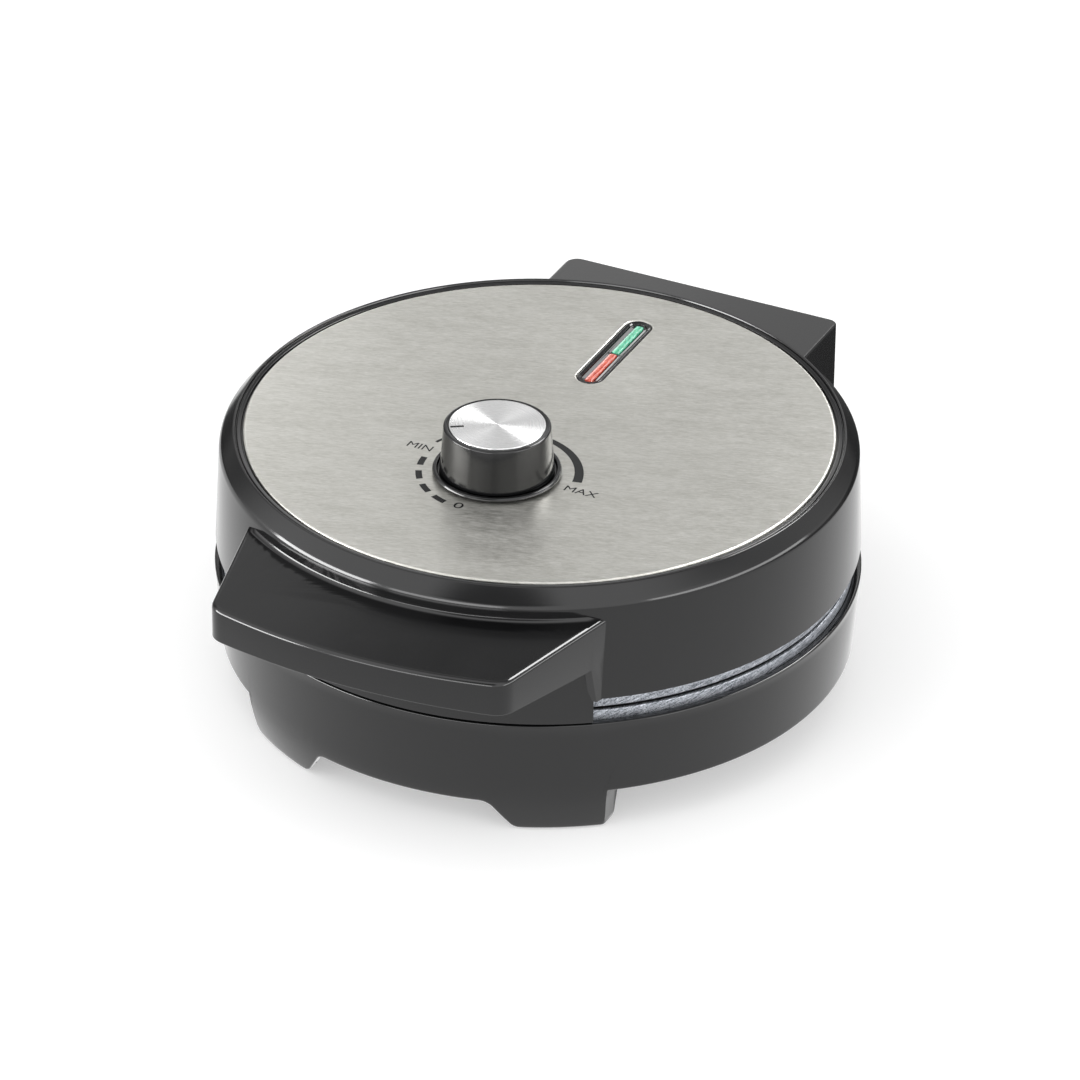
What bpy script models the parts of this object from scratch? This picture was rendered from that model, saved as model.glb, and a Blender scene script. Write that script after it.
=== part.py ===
"""A round heart waffle maker: black base and lid, steel top plate, knob and two indicator lenses.

Lengths are in metres and +Z is up. The front, with the handle, looks along -Y, and the hinge is
at +Y. The origin lies on the table, in the middle of the whole object's width and depth. Every
piece is drawn round the body's upright axis, then hung on an empty: the body's axis for what
stands still, the hinge line for the lid and the knob's axis for the knob.
"""

import math

import bmesh
import bpy
from mathutils import Matrix, Vector

for old in list(bpy.data.objects):
    bpy.data.objects.remove(old, do_unlink=True)

# Gaps and allowances
SEAT_GAP = 0.0003
OVERRUN = 0.004
BURIED = 0.0006

# Base housing. Its rim radius is the size that every round piece follows.
BASE_RIM_RADIUS = 0.1045
BASE_RIM_WIDTH = 0.0024
BASE_RIM_STEP = 0.0007
BASE_LEDGE_WIDTH = 0.0028
BASE_LEDGE_DEPTH = 0.0022
BASE_DRAFT = 0.0019
BASE_TUCK = 0.0038
TUCK_POWER = 1.4
BASE_WALL = 0.0025
FLOOR_BOTTOM = 0.0150
FLOOR_THICKNESS = 0.0025
WAIST_RISE = 0.0020
SIDE_EDGE_RISE = 0.0005
FRONT_EDGE_DROP = 0.0041
FOOT_DEPTH = 0.0080
FOOT_OUTER_X = 0.0622
FOOT_WIDTH = 0.0254
FOOT_SLOPE_X = 0.0070
FOOT_LIFT = 0.0006

# Rubber foot pads
PAD_LENGTH = 0.0140
PAD_WIDTH = 0.0044
PAD_THICKNESS = 0.0018

# Cooking plates
PARTING_GAP = 0.0012
PLATE_EDGE_GAP = 0.0005
PLATE_RIM_THICKNESS = 0.0038
PLATE_RIM_WIDTH = 0.0051
PLATE_DEPTH = 0.0105
POCKET_DEPTH = 0.0070
HEART_COUNT = 5
HEART_TIP_RADIUS = 0.0080
HEART_MARGIN = 0.0075
HEART_HALF_WIDTH_SHARE = 0.457
HEART_WAVE_SHARES = (13 / 29, -5 / 29, -2 / 29, -1 / 29)
STUD_PITCH = 0.0170
STUD_SIZE = 0.0070
STUD_HEIGHT = 0.0042
STUD_MARGIN = 0.0046

# Heating elements, in a ring groove on each plate's back
ELEMENT_INSET = 0.0235
ELEMENT_RADIUS = 0.0033
ELEMENT_HALF_OPENING = math.radians(13)
ELEMENT_BEND = 0.0040
ELEMENT_TAIL = 0.0075
GROOVE_WALL = 0.0022
GROOVE_WALL_HEIGHT = 0.0040

# Heat reflectors
REFLECTOR_GAP = 0.0007
REFLECTOR_SHEET = 0.0008
REFLECTOR_DEPTH = 0.0086
REFLECTOR_SLOT_X = 0.0400
REFLECTOR_SLOT_Y = 0.0160

# Plate screws, their bosses and the lid's lugs
SCREW_COUNT = 4
SCREW_INSET = 0.0053
SCREW_SHANK_RADIUS = 0.0016
SCREW_HEAD_RIM = 0.0016
SCREW_HEAD_THICKNESS = 0.0022
PLATE_BOSS_WALL = 0.0024
PLATE_BOSS_LENGTH = 0.0044
SCREW_GRIP = 0.0070
BASE_BOSS_WALL = 0.0021
BASE_BOSS_CAP = 0.0080
LUG_THICKNESS = 0.0040
LUG_WIDTH = 0.0100

# Lid housing, inwards from the base's rim
LID_SET_BACK = 0.0004
LID_WALL = 0.0025
LID_DRAFT = 0.0014
LID_SHOULDER_DROP = 0.0064
LID_SHOULDER_WIDTH = 0.0046
LID_SHOULDER_ROUND = 0.0012
LIP_WIDTH = 0.0023
LIP_RISE = 0.0003
LIP_ROUND = 0.0006
LEDGE_WIDTH = 0.0078
LEDGE_THICKNESS = 0.0025

# Hinge block of the lid and its line of rotation
BLOCK_OVERHANG = 0.0215
BLOCK_HALF_WIDTH = 0.0493
BLOCK_DROP = 0.0112
BLOCK_WALL = 0.0025
BLOCK_FRONT_SHARE = 0.7
BLOCK_EDGE = 0.0010
HINGE_SETBACK = 0.0120
SWING_GAP = 0.0027
EAR_WALL = 0.0030
EAR_THICKNESS = 0.0070
EAR_INSET = 0.0083
EAR_SIDE_GAP = 0.0006
EAR_TOP_ROOM = 0.0035
PIN_RADIUS = 0.0025
PIN_HEAD_RIM = 0.0015
PIN_HEAD_THICKNESS = 0.0015
RIB_THICKNESS = 0.0050
BASE_BLOCK_INSET = 0.0053
BASE_BLOCK_DEPTH_SHORT = 0.0020
BASE_BLOCK_WALL = 0.0025
WIRE_WINDOW_X = 0.0160
WIRE_WINDOW_Z = 0.0120

# Handle
HANDLE_OVERHANG = 0.0320
HANDLE_BOW = 0.0069
HANDLE_DROP = 0.0093
HANDLE_TOP_FALL = 0.0007
HANDLE_FRONT_DEPTH = 0.0111
HANDLE_BACK_DEPTH = 0.0161
HANDLE_BACK_X = 0.0622
HANDLE_TAPER = 0.0112
HANDLE_LEG_DEPTH = 0.0048
HANDLE_LEG_FOOT_DEPTH = 0.0021
HANDLE_RECESS = 0.0006
HANDLE_CORNER_ROUND = 0.0050
HANDLE_WALL = 0.0026
HANDLE_ROOT_SHARE = 0.93
HANDLE_LEG_ROOT_SHARE = 0.95
HANDLE_CORNER_INSET_SHARE = 1.1
SKIRT_PROUD = 0.0001
SKIRT_INSET = 0.0017
SKIRT_GAP = 0.0006
HANDLE_PAD_THICKNESS = 0.0046
HANDLE_SCREW_X = 0.0330
HANDLE_SCREW_DROP = 0.0082
HANDLE_BOSS_RADIUS = 0.0040
HANDLE_BOSS_LENGTH = 0.0140

# Steel top plate and indicator slot
STEEL_EDGE_GAP = 0.0008
STEEL_THICKNESS = 0.0008
SLOT_MARGIN = 0.0103
SLOT_LENGTH = 0.0440
SLOT_WIDTH = 0.0084
BEZEL_FLANGE = 0.0020
BEZEL_FLANGE_THICKNESS = 0.0012
BEZEL_DEPTH = 0.0042
BEZEL_SINK = 0.0002
BEZEL_END = 0.0022
LENS_WIDTH = 0.0038
LENS_THICKNESS = 0.0030
LENS_RIB = 0.0008
LENS_SINK = 0.0004
HOLDER_WIDTH = 0.0100
HOLDER_END = 0.0020
HOLDER_DEPTH = 0.0090
HOLDER_WALL = 0.0015
LAMP_RADIUS = 0.0022
LAMP_LENGTH = 0.0130

# Knob, dial collar and thermostat
KNOB_PLACE_SHARE = 0.5
KNOB_HEIGHT = 0.0176
KNOB_FOOT_RADIUS = 0.0183
KNOB_DRAFT = 0.0011
KNOB_CHAMFER = 0.0014
KNOB_WALL = 0.0020
KNOB_LIFT = 0.0016
KNOB_HUB_WALL = 0.0028
KNOB_RIM = 0.0018
CAP_THICKNESS = 0.0010
SHAFT_RADIUS = 0.0030
SHAFT_PLAY = 0.0020
SHAFT_FLAT_DEPTH = 0.0008
SHAFT_END_ROOM = 0.0017
COLLAR_GAP = 0.0005
COLLAR_WIDTH = 0.0018
COLLAR_HEIGHT = 0.0020
COLLAR_FLOOR = 0.0010
THERMOSTAT_X = 0.0260
THERMOSTAT_Y = 0.0180
THERMOSTAT_HEIGHT = 0.0120
THERMOSTAT_BUSH_WALL = 0.0016
THERMOSTAT_BUSH_LENGTH = 0.0060
LID_HEADROOM = 0.0109
BRACKET_FOOT_X = 0.0050
BRACKET_FOOT_Y = 0.0120
BRACKET_SHEET = 0.0012

# Thermal fuse and internal wiring
FUSE_RADIUS = 0.0020
FUSE_LENGTH = 0.0180
FUSE_SET_OFF = 0.0110
WIRE_RADIUS = 0.0011
TERMINAL_X = 0.0280
TERMINAL_Y = 0.0140
TERMINAL_Z = 0.0095
TERMINAL_INSET = 0.0025
TERMINAL_HEADROOM = 0.0010
GLAND_RADIUS = 0.0046
GLAND_FLANGE_WIDTH = 0.0016
GLAND_FLANGE_THICKNESS = 0.0015
GLAND_WALL = 0.0016
GLAND_X = -0.0220
GLAND_INNER_LENGTH = 0.0060

# Facets and the angles that decide which edges look sharp
HOUSING_STEPS = 60
PLATE_STEPS = 48
SMALL_STEPS = 32
BORE_STEPS = 12
GLAND_STEPS = 20
HEART_STEPS = 24
ELEMENT_STEPS = 30
ROUND_END_STEPS = 8
ARC_STEPS = 12
FRONT_EDGE_STEPS = 10
BEND_STEPS = 4
SHARP_ANGLE = math.radians(30)
BEVEL_ANGLE = math.radians(50)

# Radii worked out from the rim inwards
BASE_WAIST_RADIUS = BASE_RIM_RADIUS - BASE_DRAFT
BASE_FOOT_RADIUS = BASE_WAIST_RADIUS - BASE_TUCK
LID_FOOT_RADIUS = BASE_RIM_RADIUS - LID_SET_BACK
LID_SHOULDER_RADIUS = LID_FOOT_RADIUS - LID_DRAFT
LIP_OUTER_RADIUS = LID_SHOULDER_RADIUS - LID_SHOULDER_WIDTH
LIP_INNER_RADIUS = LIP_OUTER_RADIUS - LIP_WIDTH
LEDGE_INNER_RADIUS = LIP_INNER_RADIUS - LEDGE_WIDTH
STEEL_RADIUS = LIP_INNER_RADIUS - STEEL_EDGE_GAP
HANDLE_BACK_RADIUS = LID_SHOULDER_RADIUS - HANDLE_RECESS
RECESS_RADIUS = HANDLE_BACK_RADIUS - SEAT_GAP
PAD_WALL_RADIUS = HANDLE_BACK_RADIUS - HANDLE_PAD_THICKNESS
SKIRT_RADIUS = BASE_RIM_RADIUS + SKIRT_PROUD
PLATE_RADIUS = BASE_RIM_RADIUS - BASE_RIM_WIDTH - PLATE_EDGE_GAP
PLATE_PAN_RADIUS = PLATE_RADIUS - PLATE_RIM_WIDTH
SCREW_RING_RADIUS = PLATE_PAN_RADIUS - SCREW_INSET
REFLECTOR_RADIUS = SCREW_RING_RADIUS - LUG_WIDTH / 2 - REFLECTOR_GAP
ELEMENT_RING_RADIUS = REFLECTOR_RADIUS - ELEMENT_INSET
HEART_LENGTH = PLATE_PAN_RADIUS - HEART_TIP_RADIUS - HEART_MARGIN
HEART_HALF_WIDTH = HEART_LENGTH * HEART_HALF_WIDTH_SHARE
SCREW_HEAD_RADIUS = SCREW_SHANK_RADIUS + SCREW_HEAD_RIM
PLATE_BOSS_RADIUS = SCREW_SHANK_RADIUS + PLATE_BOSS_WALL
BASE_BOSS_RADIUS = SCREW_HEAD_RADIUS + BASE_BOSS_WALL
EAR_RADIUS = PIN_RADIUS + EAR_WALL
PIN_HEAD_RADIUS = PIN_RADIUS + PIN_HEAD_RIM
KNOB_TOP_RADIUS = KNOB_FOOT_RADIUS - KNOB_DRAFT
KNOB_HUB_RADIUS = SHAFT_RADIUS + KNOB_HUB_WALL
CAP_RADIUS = KNOB_TOP_RADIUS - KNOB_RIM
COLLAR_INNER_RADIUS = KNOB_FOOT_RADIUS + COLLAR_GAP
COLLAR_RADIUS = COLLAR_INNER_RADIUS + COLLAR_WIDTH
SHAFT_HOLE_RADIUS = SHAFT_RADIUS + SHAFT_PLAY
THERMOSTAT_BUSH_RADIUS = SHAFT_RADIUS + THERMOSTAT_BUSH_WALL
GLAND_FLANGE_RADIUS = GLAND_RADIUS + GLAND_FLANGE_WIDTH
GLAND_BORE_RADIUS = GLAND_RADIUS - GLAND_WALL

# Places along X and Y worked out from the radii
HANDLE_REACH = BASE_RIM_RADIUS + HANDLE_OVERHANG
HANDLE_CORNER_REACH = HANDLE_REACH - HANDLE_BOW
HANDLE_FRONT_X = HANDLE_BACK_X - HANDLE_TAPER
HANDLE_ROOT_REACH = math.sqrt(LID_FOOT_RADIUS ** 2 - HANDLE_BACK_X ** 2)
HANDLE_LEG_REACH = HANDLE_ROOT_REACH + HANDLE_LEG_DEPTH
HANDLE_LEG_FOOT_REACH = HANDLE_ROOT_REACH + HANDLE_LEG_FOOT_DEPTH
SKIRT_HALF_WIDTH = HANDLE_BACK_X - SKIRT_INSET
HINGE_BLOCK_REACH = BASE_RIM_RADIUS + BLOCK_OVERHANG
BODY_Y = (HANDLE_REACH - HINGE_BLOCK_REACH) / 2
HINGE_Y = HINGE_BLOCK_REACH - HINGE_SETBACK
BASE_BLOCK_BACK = HINGE_BLOCK_REACH - BASE_BLOCK_DEPTH_SHORT
BASE_BLOCK_HALF_WIDTH = BLOCK_HALF_WIDTH - BASE_BLOCK_INSET
EAR_OUTER_X = BLOCK_HALF_WIDTH - EAR_INSET
EAR_INNER_X = EAR_OUTER_X - EAR_THICKNESS
TERMINAL_BLOCK_Y = BASE_RIM_RADIUS - TERMINAL_INSET
KNOB_Y = -ELEMENT_RING_RADIUS * KNOB_PLACE_SHARE
SLOT_CENTRE_Y = LEDGE_INNER_RADIUS - SLOT_MARGIN - SLOT_LENGTH / 2
LENS_LENGTH = (SLOT_LENGTH - LENS_RIB) / 2 - BEZEL_END
HOLDER_LENGTH = SLOT_LENGTH - 2 * HOLDER_END
BRACKET_X = THERMOSTAT_X + 2 * BRACKET_FOOT_X
FUSE_X = THERMOSTAT_X / 2 + FUSE_SET_OFF
FOOT_INNER_X = FOOT_OUTER_X - FOOT_WIDTH
FOOT_ANGLE = math.atan2((FOOT_INNER_X + FOOT_OUTER_X) / 2, BASE_FOOT_RADIUS - FOOT_DEPTH / 2)

# Heights worked out from the floor of the base up
FLOOR_TOP = FLOOR_BOTTOM + FLOOR_THICKNESS
BASE_WAIST_HEIGHT = FLOOR_BOTTOM + WAIST_RISE
SIDE_EDGE_HEIGHT = FLOOR_BOTTOM + SIDE_EDGE_RISE
FRONT_EDGE_HEIGHT = SIDE_EDGE_HEIGHT - FRONT_EDGE_DROP
TERMINAL_FOOT = FLOOR_TOP + BURIED + SEAT_GAP
BASE_BLOCK_TOP = TERMINAL_FOOT + TERMINAL_Z + TERMINAL_HEADROOM + BASE_BLOCK_WALL
HINGE_Z = BASE_BLOCK_TOP + SWING_GAP + HINGE_SETBACK
NOTCH_HEIGHT = EAR_RADIUS + EAR_TOP_ROOM
LOWER_FACE = HINGE_Z - PARTING_GAP / 2
UPPER_FACE = HINGE_Z + PARTING_GAP / 2
LOWER_BACK = LOWER_FACE - PLATE_DEPTH
UPPER_BACK = UPPER_FACE + PLATE_DEPTH
BASE_LEDGE_HEIGHT = LOWER_FACE - PLATE_RIM_THICKNESS - SEAT_GAP
BASE_RIM_HEIGHT = BASE_LEDGE_HEIGHT + BASE_RIM_STEP
SKIRT_FOOT = BASE_RIM_HEIGHT + SKIRT_GAP
LID_FOOT_HEIGHT = UPPER_FACE + PLATE_RIM_THICKNESS + SEAT_GAP
THERMOSTAT_BOTTOM = UPPER_BACK + BRACKET_SHEET + 2 * SEAT_GAP
THERMOSTAT_TOP = THERMOSTAT_BOTTOM + THERMOSTAT_HEIGHT
BUSH_TOP = THERMOSTAT_TOP + THERMOSTAT_BUSH_LENGTH
STEEL_UNDER = BUSH_TOP + LID_HEADROOM
PLATE_TOP_HEIGHT = STEEL_UNDER + STEEL_THICKNESS
LEDGE_TOP = STEEL_UNDER - SEAT_GAP
BLOCK_TOP = PLATE_TOP_HEIGHT - BLOCK_DROP
HANDLE_TOP_BACK = PLATE_TOP_HEIGHT - HANDLE_DROP
HANDLE_TOP_FRONT = HANDLE_TOP_BACK - HANDLE_TOP_FALL
HANDLE_UNDER_BACK = HANDLE_TOP_BACK - HANDLE_BACK_DEPTH
HANDLE_UNDER_FRONT = HANDLE_TOP_FRONT - HANDLE_FRONT_DEPTH
HANDLE_SCREW_HEIGHT = HANDLE_TOP_BACK - HANDLE_SCREW_DROP
RECESS_TOP = HANDLE_TOP_BACK + SEAT_GAP
COLLAR_BOTTOM = PLATE_TOP_HEIGHT + SEAT_GAP
KNOB_BOTTOM = PLATE_TOP_HEIGHT + KNOB_LIFT
KNOB_TOP = PLATE_TOP_HEIGHT + KNOB_HEIGHT
CAP_SEAT = KNOB_TOP - CAP_THICKNESS - SEAT_GAP
KNOB_ROOF = CAP_SEAT - KNOB_WALL
KNOB_BORE_TOP = KNOB_ROOF - SHAFT_END_ROOM


def material(name, colour, roughness, metallic=0.0):
    """A Principled BSDF in one colour."""
    made = bpy.data.materials.new(name)
    made.use_nodes = True
    shader = made.node_tree.nodes["Principled BSDF"]
    shader.inputs["Base Color"].default_value = (*colour, 1)
    shader.inputs["Roughness"].default_value = roughness
    shader.inputs["Metallic"].default_value = metallic
    return made


BLACK_PLASTIC = material("black_plastic", (0.012, 0.012, 0.013), 0.28)
SATIN_BLACK = material("satin_black_plastic", (0.020, 0.020, 0.021), 0.45)
BRUSHED_STEEL = material("brushed_steel", (0.56, 0.55, 0.53), 0.32, 1.0)
CAST_ALUMINIUM = material("cast_aluminium", (0.42, 0.43, 0.45), 0.55, 1.0)
SPUN_ALUMINIUM = material("spun_aluminium", (0.80, 0.80, 0.80), 0.25, 1.0)
PLATED_STEEL = material("plated_steel", (0.60, 0.60, 0.58), 0.35, 1.0)
SHEATH_STEEL = material("sheath_steel", (0.30, 0.31, 0.30), 0.50, 1.0)
RUBBER = material("rubber", (0.030, 0.030, 0.030), 0.85)
GREEN_LENS = material("green_lens", (0.13, 0.60, 0.42), 0.15)
RED_LENS = material("red_lens", (0.75, 0.16, 0.09), 0.15)
CREAM_PLASTIC = material("cream_plastic", (0.75, 0.70, 0.60), 0.50)
LAMP_GLASS = material("lamp_glass", (0.85, 0.75, 0.65), 0.10)
CERAMIC = material("ceramic", (0.80, 0.78, 0.74), 0.60)
WIRE_SLEEVE = material("wire_sleeve", (0.70, 0.68, 0.60), 0.70)


def empty(name, place, parent=None):
    """An axis that pieces hang on."""
    made = bpy.data.objects.new(name, None)
    made.empty_display_type = "ARROWS"
    made.empty_display_size = FOOT_DEPTH
    made.location = place
    made.parent = parent
    bpy.context.collection.objects.link(made)
    return made


BODY = empty("body_axis", (0, BODY_Y, 0))
LID = empty("hinge_axis", (0, HINGE_Y, HINGE_Z), BODY)
KNOB = empty("knob_axis", (0, KNOB_Y - HINGE_Y, PLATE_TOP_HEIGHT - HINGE_Z), LID)
HOME = {
    BODY: Vector((0, 0, 0)),
    LID: Vector((0, HINGE_Y, HINGE_Z)),
    KNOB: Vector((0, KNOB_Y, PLATE_TOP_HEIGHT)),
}


def finish(name, mesh, axis, skin=None, smooth=True):
    """Hangs a mesh, drawn round the body's axis, on the empty that it moves with."""
    mesh.transform(Matrix.Translation(-HOME[axis]))
    if smooth:
        mesh.shade_smooth()
        mesh.set_sharp_from_angle(angle=SHARP_ANGLE)
    made = bpy.data.objects.new(name, mesh)
    made.parent = axis
    bpy.context.collection.objects.link(made)
    if skin is not None:
        mesh.materials.append(skin)
    return made


def to_mesh(name, shape):
    """Turns a bmesh into a mesh whose faces look outwards."""
    bmesh.ops.recalc_face_normals(shape, faces=shape.faces[:])
    mesh = bpy.data.meshes.new(name)
    shape.to_mesh(mesh)
    shape.free()
    return mesh


def turned(name, profile, axis, skin=None, steps=SMALL_STEPS, centre=(0, 0), solid=True):
    """Turns a (radius, height) profile round an upright line. A solid one gets a flat face at each end."""
    shape = bmesh.new()
    turns = [2 * math.pi * step / steps for step in range(steps)]
    rings = [
        [
            shape.verts.new((
                centre[0] + radius * math.cos(turn), centre[1] + radius * math.sin(turn), height
            ))
            for turn in turns
        ]
        for radius, height in profile
    ]
    pairs = list(zip(rings, rings[1:]))
    if solid:
        shape.faces.new(rings[0])
        shape.faces.new(rings[-1])
    else:
        pairs.append((rings[-1], rings[0]))
    for here, after in pairs:
        for step in range(steps):
            nxt = (step + 1) % steps
            shape.faces.new((here[step], here[nxt], after[nxt], after[step]))
    return finish(name, to_mesh(name, shape), axis, skin)


def extruded(name, outline, low, high, axis, skin=None, along="Z", smooth=False):
    """Extrudes a closed outline. Along Z it is (x, y), along X it is (y, z), along Y it is (x, z)."""
    spots = {
        "Z": lambda a, b, c: (a, b, c),
        "X": lambda a, b, c: (c, a, b),
        "Y": lambda a, b, c: (a, c, b),
    }[along]
    shape = bmesh.new()
    first = [shape.verts.new(spots(a, b, low)) for a, b in outline]
    last = [shape.verts.new(spots(a, b, high)) for a, b in outline]
    shape.faces.new(first)
    shape.faces.new(last[::-1])
    for index in range(len(outline)):
        nxt = (index + 1) % len(outline)
        shape.faces.new((first[index], first[nxt], last[nxt], last[index]))
    return finish(name, to_mesh(name, shape), axis, skin, smooth)


def box(name, x_range, y_range, z_range, axis, skin=None):
    """A box from its lowest and highest x, y and z."""
    (left, right), (near, far) = x_range, y_range
    outline = [(left, near), (right, near), (right, far), (left, far)]
    return extruded(name, outline, z_range[0], z_range[1], axis, skin)


def rod(name, start, end, radius, axis, skin=None, steps=BORE_STEPS):
    """A round bar between two points."""
    start = Vector(start)
    run = Vector(end) - start
    shape = bmesh.new()
    bmesh.ops.create_cone(
        shape, cap_ends=True, segments=steps, radius1=radius, radius2=radius, depth=run.length
    )
    turn = run.to_track_quat("Z", "Y").to_matrix().to_4x4()
    bmesh.ops.transform(shape, matrix=Matrix.Translation(start + run / 2) @ turn, verts=shape.verts[:])
    return finish(name, to_mesh(name, shape), axis, skin)


def hull(name, points, axis, skin=None):
    """The smallest convex solid round some points."""
    shape = bmesh.new()
    for point in points:
        shape.verts.new(point)
    made = bmesh.ops.convex_hull(shape, input=shape.verts[:])
    bmesh.ops.delete(shape, geom=list(set(made["geom_interior"])), context="VERTS")
    return finish(name, to_mesh(name, shape), axis, skin, smooth=False)


def combine(target, other, operation):
    """Keeps other as a hidden helper that a Boolean joins to target or cuts from it."""
    other.hide_render = True
    other.display_type = "WIRE"
    step = target.modifiers.new(other.name, "BOOLEAN")
    step.operation = operation
    step.solver = "EXACT"
    step.object = other
    return target


def join(target, other):
    """Joins other to target."""
    return combine(target, other, "UNION")


def cut(target, other):
    """Cuts other from target."""
    return combine(target, other, "DIFFERENCE")


def soften(target, width, segments=2):
    """Rounds the edges of a boxy piece."""
    step = target.modifiers.new("rounded_edges", "BEVEL")
    step.width = width
    step.segments = segments
    step.limit_method = "ANGLE"
    step.angle_limit = BEVEL_ANGLE
    return target


def on_ring(radius, turn):
    """A place on a circle round the upright axis."""
    return radius * math.cos(turn), radius * math.sin(turn)


def arc(radius, half_angle):
    """Points of an arc seen from above, centred on the front."""
    turns = [half_angle * (2 * step / ARC_STEPS - 1) for step in range(ARC_STEPS + 1)]
    return [on_ring(radius, turn - math.pi / 2) for turn in turns]


def half_round(centre, radius, start):
    """Points of half a circle in the plane of Y and Z, from the given turn on."""
    turns = [start + math.pi * step / ROUND_END_STEPS for step in range(ROUND_END_STEPS + 1)]
    return [(centre[0] + radius * math.cos(turn), centre[1] + radius * math.sin(turn)) for turn in turns]


def sector(name, inner, outer, half_angle, low, high, axis):
    """A piece of a round wall at the front, with the same facets on both faces."""
    return extruded(name, arc(outer, half_angle) + arc(inner, half_angle)[::-1], low, high, axis)


def wall_radius(height):
    """The base's outer wall: a slight draft down to the waist, then a tuck towards the feet."""
    if height > BASE_WAIST_HEIGHT:
        share = (height - BASE_WAIST_HEIGHT) / (BASE_RIM_HEIGHT - BASE_WAIST_HEIGHT)
        return BASE_WAIST_RADIUS + (BASE_RIM_RADIUS - BASE_WAIST_RADIUS) * share
    share = (BASE_WAIST_HEIGHT - height) / BASE_WAIST_HEIGHT
    return BASE_WAIST_RADIUS - (BASE_WAIST_RADIUS - BASE_FOOT_RADIUS) * share ** TUCK_POWER


def lid_radius(height):
    """The lid's drafted outer wall."""
    top = PLATE_TOP_HEIGHT - LID_SHOULDER_DROP
    share = (top - height) / (top - LID_FOOT_HEIGHT)
    return LID_SHOULDER_RADIUS + (LID_FOOT_RADIUS - LID_SHOULDER_RADIUS) * share


def screw_angles():
    """Turn of each plate screw, halfway between the axes."""
    return [math.pi * (2 * index + 1) / SCREW_COUNT for index in range(SCREW_COUNT)]


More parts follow.
